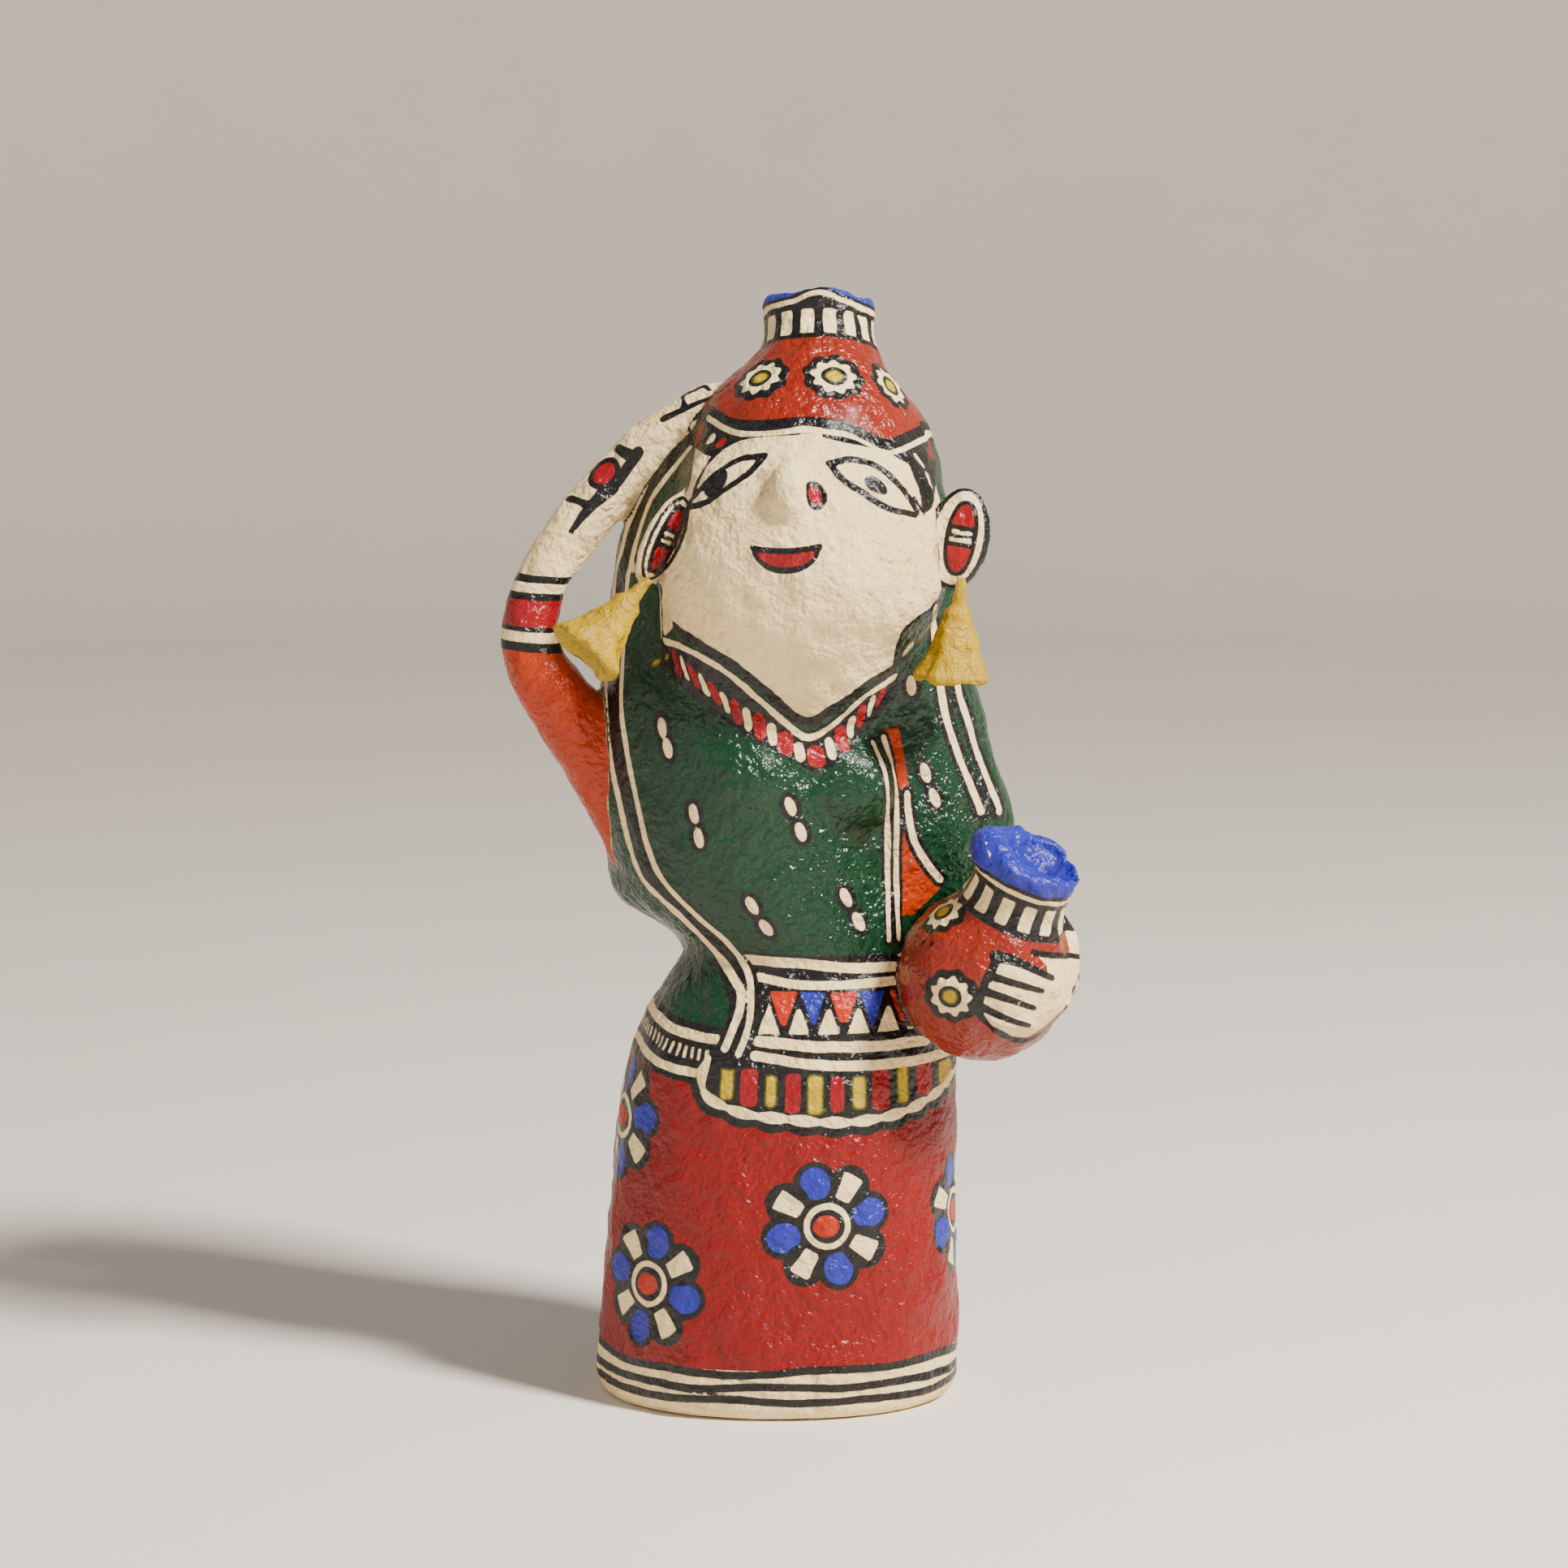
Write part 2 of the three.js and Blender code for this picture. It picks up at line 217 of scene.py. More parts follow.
def loft_gap(points, rings):
    """Rough distance from each point to a lofted mass, negative inside."""
    table = np.array(rings, float)
    x, y, z = points.T
    cx, cy, hw, hd = (np.interp(z, table[:, 0], table[:, k]) for k in range(1, 5))
    spread = np.hypot((x - cx) / hw, (y - cy) / hd)
    beyond = np.maximum(0, np.maximum(table[0, 0] - z, z - table[-1, 0]))
    return (spread - 1) * np.sqrt(hw * hd) + 2 * beyond


def limb_gap(points, path):
    """Distance from each point to a limb, negative inside, and how far along the limb it is."""
    best = np.full(len(points), 1e3)
    along = np.zeros(len(points))
    walked = 0.0
    for (*p, r), (*q, s) in zip(path[:-1], path[1:]):
        p, q = np.array(p, float), np.array(q, float)
        length = np.linalg.norm(q - p)
        t = np.clip((points - p) @ (q - p) / length**2, 0, 1)
        gap = np.linalg.norm(points - p - t[:, None] * (q - p), axis=1) - (r + (s - r) * t)
        nearer = gap < best
        best[nearer], along[nearer] = gap[nearer], (walked + t * length)[nearer]
        walked += length
    return best, along


def axis_frame(points, pot):
    """Distance from a pot's axis, height along it, and the angle round it in radians: 0 in front, + to +X."""
    axis = np.array(pot["axis"])
    front = np.array([0, -1, 0]) + axis * axis[1]
    front /= np.linalg.norm(front)
    side = np.cross(front, -axis)
    local = points - np.array(pot["foot"])
    height = local @ axis
    flat = local - height[:, None] * axis
    return np.linalg.norm(flat, axis=1), height, np.arctan2(flat @ side, flat @ front)


def turn_matrix(degrees):
    """The turn about X, then Y, then Z of the turned axes, as a matrix."""
    cx, cy, cz = (math.cos(math.radians(a)) for a in degrees)
    sx, sy, sz = (math.sin(math.radians(a)) for a in degrees)
    about_x = np.array([[1, 0, 0], [0, cx, -sx], [0, sx, cx]])
    about_y = np.array([[cy, 0, sy], [0, 1, 0], [-sy, 0, cy]])
    about_z = np.array([[cz, -sz, 0], [sz, cz, 0], [0, 0, 1]])
    return about_x @ about_y @ about_z


def ear_frame(points, ear):
    """How far across, through and up each point is in an ear's own frame."""
    middle, turn = EARS[ear]
    return (points - np.array(middle)) @ turn_matrix(turn)


def masses(points):
    """The rough gap from every point to the surface of each mass."""
    gaps = {"skirt": loft_gap(points, SKIRT), "trunk": loft_gap(points, TRUNK),
            "veil": loft_gap(points, VEIL), "head": loft_gap(points, HEAD),
            "head_pot": loft_gap(points, POT_RINGS)}
    gaps["arm"], _ = limb_gap(points, RAISED_ARM)
    gaps["hand"] = np.minimum(limb_gap(points, LOW_ARM)[0], limb_gap(points, THUMB)[0])
    gaps["fingers"] = np.min([limb_gap(points, path)[0] for path in fingers()], axis=0)
    across, height, _ = axis_frame(points, HIP_POT)
    ball = np.hypot(across, height) - HIP_POT["belly"]
    neck = np.maximum(across - 12.2, np.abs(height - 23) - 10)
    gaps["hip_pot"] = np.minimum(ball, neck)
    for ear in EARS:
        u, v, w = ear_frame(points, ear).T
        gaps["ear_" + ear] = (np.sqrt((u / 7) ** 2 + (v / 2.6) ** 2 + (w / 12) ** 2) - 1) * 4.2
    return gaps


def owned(gaps, mine, others):
    """Negative where the masses named in mine own the surface, in rough millimetres from the border."""
    return (np.min([gaps[m] for m in mine], 0) - np.min([gaps[m] for m in others], 0)) / 2


gaps = masses(points_of(figure))
nearest = sorted((name, int((gap < 1).sum())) for name, gap in gaps.items())
print("points near each mass:", ", ".join("%s %d" % pair for pair in nearest))

# %% [markdown]
# ## Melting the creases
# Creases are melted by averaging. Fingers, ears and rims are thin, so they get only a few gentle
# rounds. The nose gets the most, so that the lump stuck on the face becomes a ridge that grows out of
# it, and so do the places where the neck meets the blouse and the trunk meets the waist.

# %% Melt the creases
points = points_of(figure)
gaps = masses(points)
thin = np.minimum(np.minimum(gaps["fingers"], gaps["ear_hip"]), gaps["ear_arm"])
pot_across, pot_height, _ = axis_frame(points, HIP_POT)
rim = np.minimum(np.abs(pot_height - 29) + np.maximum(0, pot_across - 15), np.abs(points[:, 2] - 251))
solid_part = ramp(thin, 0.8, 4) * ramp(rim, 3, 7)
nose = 1 - ramp(np.linalg.norm(points - [2.6, -38, 212], axis=1), 8, 14)
melt(figure, 3, 0.5)
melt(figure, 14, 0.5 * solid_part)
melt(figure, 4, 0.5 * nose)
print("melted: %.0f%% of the points fully" % (100 * (solid_part > 0.9).mean()))

# %% [markdown]
# ## Thumb marks, lumps and wrinkles
# Strips of wet paper dry with soft lumps as wide as a thumb and fine wrinkles a few millimetres apart.
# Both are real relief, because they bend the outline and the shine. They follow a rule over the whole
# surface, which is what Geometry Nodes are good at: the tree moves each point along its normal by two
# layers of noise, and its sizes are named inputs. An attribute says how rough each place is, so the
# foot stays flat, the rims stay lumpy and the hands stay crisp.

# %% Pulp relief with Geometry Nodes


def pulp_tree(name):
    """Moves each point along its normal by soft lumps and fine wrinkles, and gives the skin a material."""
    tree = bpy.data.node_groups.new(name, "GeometryNodeTree")
    face = tree.interface
    face.new_socket("Skin", in_out="INPUT", socket_type="NodeSocketGeometry")
    for label, value in (("Lump Size", 0.02), ("Lump Height", 0.0006), ("Wrinkle Size", 0.005),
                         ("Wrinkle Height", 0.0003), ("Seed", 7.0)):
        socket = face.new_socket(label, in_out="INPUT", socket_type="NodeSocketFloat")
        socket.default_value = value
    face.new_socket("Finish", in_out="INPUT", socket_type="NodeSocketMaterial")
    face.new_socket("Skin", in_out="OUTPUT", socket_type="NodeSocketGeometry")
    nodes, link = tree.nodes, tree.links.new
    given = nodes.new("NodeGroupInput")
    out = nodes.new("NodeGroupOutput")
    place = nodes.new("GeometryNodeInputPosition")
    normal = nodes.new("GeometryNodeInputNormal")
    rough = nodes.new("GeometryNodeInputNamedAttribute")
    rough.data_type = "FLOAT_VECTOR"
    rough.inputs["Name"].default_value = "pulp"
    parts = nodes.new("ShaderNodeSeparateXYZ")
    link(rough.outputs["Attribute"], parts.inputs[0])

    def maths(operation, a, b):
        node = nodes.new("ShaderNodeMath")
        node.operation = operation
        for socket, value in zip(node.inputs, (a, b)):
            if isinstance(value, (int, float)):
                socket.default_value = value
            else:
                link(value, socket)
        return node.outputs[0]

    def layer(size, height, amount, detail, shift):
        noise = nodes.new("ShaderNodeTexNoise")
        noise.noise_dimensions = "4D"
        noise.inputs["Detail"].default_value = detail
        link(place.outputs[0], noise.inputs["Vector"])
        link(maths("DIVIDE", 1.0, given.outputs[size]), noise.inputs["Scale"])
        link(maths("ADD", given.outputs["Seed"], shift), noise.inputs["W"])
        centred = maths("SUBTRACT", noise.outputs["Fac"], 0.5)
        return maths("MULTIPLY", maths("MULTIPLY", centred, given.outputs[height]), amount)

    lumps = layer("Lump Size", "Lump Height", parts.outputs["X"], 1.0, 0.0)
    wrinkles = layer("Wrinkle Size", "Wrinkle Height", parts.outputs["Y"], 3.0, 5.0)
    scale = nodes.new("ShaderNodeVectorMath")
    scale.operation = "SCALE"
    link(normal.outputs[0], scale.inputs[0])
    link(maths("ADD", lumps, wrinkles), scale.inputs["Scale"])
    move = nodes.new("GeometryNodeSetPosition")
    link(given.outputs["Skin"], move.inputs["Geometry"])
    link(scale.outputs[0], move.inputs["Offset"])
    real = nodes.new("GeometryNodeRealizeInstances")
    link(move.outputs[0], real.inputs[0])
    finish = nodes.new("GeometryNodeSetMaterial")
    link(real.outputs[0], finish.inputs["Geometry"])
    link(given.outputs["Finish"], finish.inputs["Material"])
    link(finish.outputs[0], out.inputs[0])
    return tree


PULP = pulp_tree("pulp relief")


def roughen(obj, finish, amounts, **sizes):
    """Runs the pulp tree on obj. amounts holds a lump and a wrinkle factor for each point."""
    store = obj.data.attributes.new("pulp", "FLOAT_VECTOR", "POINT")
    store.data.foreach_set("vector", np.column_stack([*amounts, np.zeros(len(amounts[0]))]).ravel())
    relief = obj.modifiers.new("pulp relief", "NODES")
    relief.node_group = PULP
    names = {item.name: item.identifier for item in PULP.interface.items_tree if item.in_out == "INPUT"}
    for label, value in {**sizes, "Finish": finish}.items():
        relief[names[label.replace("_", " ")]] = value
    settle(obj)
    obj.data.attributes.remove(obj.data.attributes["pulp"])


painted = bpy.data.materials.new("painted papier-mache")
points = points_of(figure)
gaps = masses(points)
above_foot = ramp(points[:, 2], 0.6, 5)
pot_across, pot_height, _ = axis_frame(points, HIP_POT)
hip_rim = ramp(pot_height, 25, 27.5) * ramp(gaps["hip_pot"], 6, 4)
head_rim = ramp(points[:, 2], 246, 249)
crisp = ramp(np.minimum(gaps["fingers"], np.minimum(gaps["ear_hip"], gaps["ear_arm"])), 0, 3)
lumps = above_foot * (0.35 + 0.65 * crisp) * (1 + 1.6 * hip_rim + 1.2 * head_rim)
wrinkles = above_foot * (0.4 + 0.6 * crisp) * (1 + 1.6 * hip_rim + head_rim + 0.6 * ramp(gaps["hip_pot"], 3, 0))
wrinkles *= 0.75 + 0.6 * ramp(owned(gaps, ["head"], ["veil", "trunk", "head_pot", "arm"]), 0.5, -0.5)
roughen(figure, painted, (lumps, wrinkles), Lump_Size=0.016, Lump_Height=0.0034, Wrinkle_Size=0.0048,
        Wrinkle_Height=0.0016, Seed=7.0)
print("relief done on", len(figure.data.vertices), "points")

# %% [markdown]
# ## How the paint is put on
# The painter works with one round brush and a few pots of poster colour: broad colours first, black over
# their edges, and small marks in cream, blue, crimson and yellow on the black. The same order is kept
# here. For every point of the skin and every colour, a number says how far the point is from the edge
# of that paint in millimetres, and it is negative under the paint. The material later turns each
# number into a crisp edge. Strokes are given by a few points in front view, as a painter would set
# them down, laid onto the surface by rays; what repeats is worked out by loops.

# %% A paint box
COLOURS = ["green", "red", "orange", "brick", "ink", "crimson", "blue", "yellow", "tangerine", "cream"]
FAR = 6.0


class Paint:
    """Works on one skin. edge[colour] holds the distance in millimetres from each point to that paint."""

    def __init__(self, obj):
        self.points, self.normals = points_of(obj), normals_of(obj)
        obj.data.calc_loop_triangles()
        faces = np.empty(len(obj.data.loop_triangles) * 3, int)
        obj.data.loop_triangles.foreach_get("vertices", faces)
        self.tree = BVHTree.FromPolygons(self.points.tolist(), faces.reshape(-1, 3).tolist(), all_triangles=True)
        self.edge = {colour: np.full(len(self.points), FAR) for colour in COLOURS}
        self.gaps = masses(self.points)
        self.on = np.ones(len(self.points), bool)

    def ray(self, start, direction):
        """Where a ray from start first meets the skin, as (point, normal)."""
        hit, normal, _, _ = self.tree.ray_cast(Vector(start), Vector(direction).normalized())
        if hit is None:
            hit, normal, _, _ = self.tree.find_nearest(Vector(start) + Vector(direction) * 110)
        return np.array(hit), np.array(normal)

    def front(self, x, z):
        return self.ray((x, -120, z), (0, 1, 0))[0]

    def back(self, x, z):
        return self.ray((x, 120, z), (0, -1, 0))[0]

    def around(self, degrees, z, middle=(2, 0)):
        """The point at a height on the side that faces degrees: 0 is the front and 90 the hip pot's side."""
        a = math.radians(degrees)
        out = np.array([math.sin(a), -math.cos(a)])
        start = np.array(middle) + 110 * out
        return self.ray((*start, z), (*-out, 0))[0]

    def path(self, marks, lay=None, step=1.5):
        """A smooth line through marks, laid on the skin. lay puts one (x, z) mark on the skin."""
        lay = lay or self.front
        marks = np.array(marks, float)
        padded = np.vstack([2 * marks[0] - marks[1], marks, 2 * marks[-1] - marks[-2]])
        line = []
        for p0, p1, p2, p3 in zip(padded, padded[1:], padded[2:], padded[3:]):
            for t in np.arange(0, 1, step / max(step, np.linalg.norm(p2 - p1))):
                line.append(0.5 * (2 * p1 + (p2 - p0) * t + (2 * p0 - 5 * p1 + 4 * p2 - p3) * t**2
                                   + (3 * p1 - p0 - 3 * p2 + p3) * t**3))
        line.append(marks[-1])
        return np.array([lay(*mark) for mark in line])

    def shifted(self, line, distance):
        """The line moved sideways over the skin, to the right of someone who walks along it."""
        ahead = np.gradient(line, axis=0)
        moved = []
        for point, way in zip(line, ahead):
            normal = np.array(self.tree.find_nearest(Vector(point))[1])
            side = np.cross(way, normal)
            side /= np.linalg.norm(side) + 1e-9
            moved.append(np.array(self.tree.find_nearest(Vector(point + distance * side))[0]))
        return np.array(moved)

    def beside(self, line, reach):
        """(points near the line, their distance to it, how far along it they are)."""
        best = np.full(len(self.points), np.inf)
        along = np.zeros(len(self.points))
        walked = np.concatenate([[0], np.cumsum(np.linalg.norm(np.diff(line, axis=0), axis=1))])
        for first in range(0, len(line) - 1, 8):
            part = line[first : first + 9]
            low, high = part.min(0) - reach, part.max(0) + reach
            near = np.flatnonzero(((self.points > low) & (self.points < high)).all(1) & self.on)
            for k, (a, b) in enumerate(zip(part, part[1:])):
                way = b - a
                size = way @ way
                if size < 1e-9 or not len(near):
                    continue
                offset = self.points[near] - a
                t = np.clip(offset @ way / size, 0, 1)
                gap = np.linalg.norm(offset - t[:, None] * way, axis=1)
                closer = gap < best[near]
                best[near[closer]] = gap[closer]
                along[near[closer]] = (walked[first + k] + t * math.sqrt(size))[closer]
        near = np.flatnonzero(best < reach)
        return near, best[near], along[near]

    def cover(self, colour, near, edge):
        """Adds paint: near are points, edge their distance to the new paint's edge."""
        self.edge[colour][near] = np.minimum(self.edge[colour][near], edge)

    def scrape(self, colour, near, edge):
        """Takes paint away where edge is negative."""
        self.edge[colour][near] = np.maximum(self.edge[colour][near], -edge)

    def ground(self, near, edge):
        """A black ground that hides the small marks under it."""
        for colour in ("crimson", "blue", "yellow", "tangerine", "cream"):
            self.scrape(colour, near, edge)
        self.cover("ink", near, edge)

    def card(self, x0, x1, z0, z1, facing=0.25):
        """(points inside a box of the front view that face forward, their x, their z)."""
        x, _, z = self.points.T
        near = np.flatnonzero(self.on & (self.normals[:, 1] < facing) & (x > x0) & (x < x1) & (z > z0) & (z < z1))
        return near, x[near], z[near]

    def fill(self, outline, margin=4):
        """(points in and round a closed outline of the front view, their distance to it)."""
        corners = np.array(outline)
        (x0, z0), (x1, z1) = corners.min(0) - margin, corners.max(0) + margin
        near, x, z = self.card(x0, x1, z0, z1)
        gap = outline_gap(x, z, outline)
        return near, np.where(self.points[near, 1] > -1, FAR, gap)

    def stroke(self, colour, line, width, taper=0.0):
        """One brush stroke. width is its full width, and taper thins its far end."""
        near, gap, along = self.beside(line, width / 2 + 3)
        length = np.linalg.norm(np.diff(line, axis=0), axis=1).sum()
        self.cover(colour, near, gap - width / 2 * (1 - taper * along / length))

    def lines(self, line, width, margin):
        """A cream line with black on both sides."""
        self.stroke("ink", line, width + 2 * margin)
        self.stroke("cream", line, width)

    def chart(self, centre, reach, up=(0, 0, 1)):
        """(points near centre, u to the right, v up), measured on a flat card held against the skin there."""
        near = np.flatnonzero((np.linalg.norm(self.points - centre, axis=1) < reach) & self.on)
        normal = self.normals[near].sum(0)
        normal /= np.linalg.norm(normal) + 1e-9
        right = np.cross(up, normal)
        right /= np.linalg.norm(right) + 1e-9
        near = near[self.normals[near] @ normal > 0.1]
        local = self.points[near] - centre
        return near, local @ right, local @ np.cross(normal, right)

    def blob(self, colour, centre, half_u, half_v, turn=0.0, up=(0, 0, 1), margin=None):
        """An oval dab of colour, turned by degrees. With a margin, it lies on a black dab that much larger."""
        near, u, v = self.chart(centre, max(half_u, half_v) + 5, up)
        if not len(near):
            return
        a = math.radians(turn)
        u, v = u * math.cos(a) + v * math.sin(a), v * math.cos(a) - u * math.sin(a)
        if margin is not None:
            self.cover("ink", near, oval(u, v, half_u + margin, half_v + margin))
        self.cover(colour, near, oval(u, v, half_u, half_v))


def oval(u, v, half_u, half_v):
    """Distance to the edge of an oval, negative inside."""
    ratio = np.hypot(u / half_u, v / half_v)
    slope = np.hypot(u / half_u**2, v / half_v**2) + 1e-6
    return np.where(ratio > 0.3, (ratio - 1) * ratio / slope, -0.7 * min(half_u, half_v))


def slab(value, low, high):
    """Distance to a band between low and high, negative inside."""
    return np.maximum(low - value, value - high)


def outline_gap(x, z, outline):
    """Distance in front view to a closed outline of (x, z) corners, negative inside."""
    corners = np.array(outline, float)
    inside = np.zeros(len(x), bool)
    best = np.full(len(x), np.inf)
    for (ax, az), (bx, bz) in zip(corners, np.roll(corners, -1, 0)):
        crosses = (az > z) != (bz > z)
        inside ^= crosses & (x < ax + (bx - ax) * (z - az) / (bz - az + 1e-12))
        t = np.clip(((x - ax) * (bx - ax) + (z - az) * (bz - az)) / ((bx - ax) ** 2 + (bz - az) ** 2), 0, 1)
        best = np.minimum(best, np.hypot(x - ax - t * (bx - ax), z - az - t * (bz - az)))
    return np.where(inside, -best, best)


print("colours in the box:", ", ".join(COLOURS))

# %% [markdown]
# ## Broad colours
# Green for the blouse and the veil, red for the skirt, orange for the sleeve of the raised arm and a
# strip of the other sleeve, and a duller brick red for the pots. Bare cream is left for the face, the
# neck, the hands and the hem. Each colour's limit comes from the masses, so it runs all the way round.

# %% Broad colours
NECKLINE = [(-23, 180.4), (-19.5, 178), (-10, 172.6), (-2, 165.8), (5.9, 158.8), (13, 162), (20, 167), (26, 170.4)]
FACE_SIDES = [(26.6, 174), (28.2, 179.5), (31.4, 182.8), (35.5, 184.6), (38, 192), (37, 206), (34.5, 216), (31, 224),
              (0, 231), (-16, 227), (-18.5, 219), (-19.5, 212), (-22, 206.5), (-26, 199), (-26.5, 190), (-26.3, 176)]
BRIM = np.array([(-21, 230), (-16, 228), (-10, 225.4), (-3, 225.4), (6, 226.3), (15, 225.2), (20, 223), (25, 221.2),
                 (33, 223), (38, 224)])
HAND = [(49.2, 107.2), (55, 105.8), (60.4, 103.2), (60.2, 105.6), (57.6, 108.4), (63.1, 107), (67, 105.8), (70.5, 104.8),
        (72, 101), (69, 97), (64.4, 95), (60.2, 91.2), (56, 89), (52.4, 89.6), (48.1, 92.4), (45.4, 95.2), (45.6, 99),
        (46.6, 103)]
HEM = 11.8
WAISTBAND = 86.0


def waistband_height(points):
    """Height of the middle of the skirt's band. It sits lower in front, where the apron hangs over it."""
    x, y, _ = points.T
    return WAISTBAND - 3.2 * ramp(-y, 0, 30) + 1.5 * ramp(-x, 20, 38)


def brim_height(points):
    """Height of the line where the head pot meets the hair: low at the back and high over the brow."""
    x, y, _ = points.T
    front = ramp(-y, 2, 14)
    return (1 - front) * (223.4 - 0.13 * y) + front * np.interp(x, *BRIM.T)


def broad_colours(skin):
    points, gaps = skin.points, skin.gaps
    x, y, z = points.T
    body = ["trunk", "veil", "skirt", "head"]
    others = ["head_pot", "arm", "hand", "fingers", "hip_pot", "ear_hip", "ear_arm"]
    cloth = owned(gaps, body, others)
    band = waistband_height(points)
    skin.edge["green"] = np.maximum(cloth, band - z)
    face = outline_gap(x, z, NECKLINE + FACE_SIDES)
    face[(skin.normals[:, 1] > 0.35) | (y > -1)] = FAR
    skin.scrape("green", slice(None), face)
    skin.edge["red"] = np.maximum.reduce([owned(gaps, body, others), z - band, HEM - z])
    sleeve = np.maximum(owned(gaps, ["arm"], ["trunk", "veil", "skirt", "head", "head_pot"]), z - 173.5)
    strip = outline_gap(x, z, [(24, 155.5), (27.5, 156), (29.4, 146), (30.2, 137), (31, 130), (34, 124), (37.5, 119.5),
                               (31, 113), (27.4, 113), (26.9, 125), (27, 142)])
    strip[skin.normals[:, 1] > 0] = FAR
    skin.edge["orange"] = np.minimum(sleeve, np.maximum(strip, owned(gaps, ["trunk", "veil"], ["hip_pot", "hand"])))
    top_pot = np.maximum(owned(gaps, ["head_pot", "veil", "head"], ["arm"]), brim_height(points) - z)
    side_pot = owned(gaps, ["hip_pot"], ["hand", "fingers", "veil", "trunk", "skirt"])
    skin.edge["brick"] = np.minimum(top_pot, side_pot)
    skin.scrape("brick", *skin.fill(HAND))
    skin.scrape("green", slice(None), skin.edge["brick"])


# %% [markdown]
# ## Motifs
# Three motifs repeat over the figure: the eight-petalled flower of the skirt, the small daisy of the
# pots, and the pair of drops on the green cloth. Each is written once, as a function of where it sits.

# %% Motifs


def flower(skin, centre, spin, size=1.0):
    """Eight petals, blue and cream by turns, round a white ring with an orange heart, all on black."""
    near, u, v = skin.chart(centre, 19 * size)
    u, v = u / size, v / size
    rho = np.hypot(u, v)
    skin.ground(near, rho - 11)
    for k in range(8):
        a = math.radians(spin + 45 * k)
        out, side = u * math.cos(a) + v * math.sin(a), v * math.cos(a) - u * math.sin(a)
        skin.ground(near, oval(side, out - 10.2, 4.9, 5.0))
        if k % 2 == 0:
            skin.cover("blue", near, oval(side, out - 10.1, 3.4, 3.8))
        else:
            narrow = np.abs(side) - 0.8 - 0.13 * out
            skin.cover("cream", near, np.maximum(narrow, np.maximum(6.7 - out, rho - 12.9)))
    skin.cover("cream", near, slab(rho, 4.0, 5.3))
    skin.cover("tangerine", near, oval(u + 0.3, v, 3.0, 2.5))


def daisy(skin, centre, size=1.0, flat=0.9, up=(0, 0, 1)):
    """A cream daisy with a black ring and a yellow heart, on a black dab with a wavy edge."""
    near, u, v = skin.chart(centre, 11 * size, up)
    u, v = u / size, v / size / flat
    rho, phi = np.hypot(u, v), np.arctan2(v, u)
    skin.cover("ink", near, rho - 6.7 - 0.35 * np.cos(9 * phi + 1))
    skin.cover("cream", near, np.maximum(rho - 4.7 - 0.55 * np.cos(9 * phi), 2.9 - rho))
    skin.cover("yellow", near, rho - 2.1)


def drop_pair(skin, first, second):
    """Two cream drops, one just under the other, each in a black halo."""
    for drop, other in ((first, second), (second, first)):
        lean = math.degrees(math.atan2(second[0] - first[0], first[1] - second[1]))
        skin.blob("cream", skin.front(*drop), 1.15, 2.35, turn=lean, margin=1.25)


def hem_and_flowers(skin):
    """Three black lines round the cream hem, and flowers scattered on the red."""
    x, y, z = skin.points.T
    angle = np.arctan2(x, -y)
    for k, (height, sway) in enumerate(((11.3, 0.5), (7.6, 0.35), (4.5, 0.3))):
        middle = height + sway * np.sin(3 * angle + 1.3 * k) + 0.25 * np.sin(7 * angle + 2 * k)
        skin.cover("ink", slice(None), np.abs(z - middle) - 0.95)
    for x0, z0, spin in ((11.4, 45, 15), (-29.5, 29.6, -12)):
        flower(skin, skin.front(x0, z0), spin)
    for degrees, z0, spin in ((-74, 66, 8), (80, 43, 20), (112, 24, -5), (-112, 35, 30), (140, 58, 12),
                              (-146, 62, -8), (158, 27, 22), (-157, 25, 4), (178, 55, -15)):
        flower(skin, skin.around(degrees, z0), spin)


def waistband(skin):
    """The skirt's band all round: a cream line, a black band with cream ticks, and a cream line."""
    _, y, z = skin.points.T
    band = z - waistband_height(skin.points)
    angle = np.degrees(np.arctan2(skin.points[:, 0] - 2, -y))
    skin.cover("ink", skin.on, (np.abs(band) - 6.3)[skin.on])
    tick = np.abs((angle / 3.5) % 1 - 0.5) * 2.05
    ticks = np.maximum(tick - 0.4, slab(band, -1.2, 1.4))
    for paint in (slab(band, 2.7, 4.7), slab(band, -4.9, -3.0), ticks):
        skin.cover("cream", skin.on, paint[skin.on])


print("motifs ready")

# %% [markdown]
# ## Bands, borders and the collar
# The apron is a stack of bands: cream lines, a row of coloured triangles, more cream lines and a row of
# yellow and crimson teeth over a scalloped edge. The veil and the blouse are edged with pairs of cream
# lines on black, and the neck has a black collar with teeth. Rows are loops; only the curves that carry
# them are listed one by one.

# %% Apron, borders and collar
APRON = [(-9.5, 106), (10, 105.3), (30, 105), (38, 96), (42, 84), (43, 76), (39.5, 71), (29, 67.4), (14, 65.8),
         (-4, 67.6), (-12, 69.6), (-19, 74.5), (-18, 80.5), (-12.5, 85.5), (-7.5, 93), (-7.6, 100)]
SCALLOP = [(-15.6, 82.4), (-17, 79), (-17, 76.3), (-15.5, 73.6), (-8, 70.6), (4, 69.2), (14, 68.4), (24, 69), (31, 70.4),
           (37, 72.8), (41, 76)]
COLLAR = [(-25.8, 177.5), (-22, 177), (-16, 174.8), (-10, 171), (-4.3, 165.9), (0.4, 161.2), (4.6, 157.3), (7.5, 156.3),
          (13, 159.6), (19.5, 165.3), (26.5, 169.5), (27.4, 163.5), (22, 158), (17.5, 152.6), (12.3, 148.2), (8.1, 147),
          (-0.7, 152.2), (-9, 156.9), (-17.3, 162.6), (-26.5, 170)]


def row(first, last, count):
    """count places from first to last, with how far along the row each is."""
    for i in range(count):
        t = i / (count - 1)
        yield i, [a + (b - a) * t for a, b in zip(first, last)]


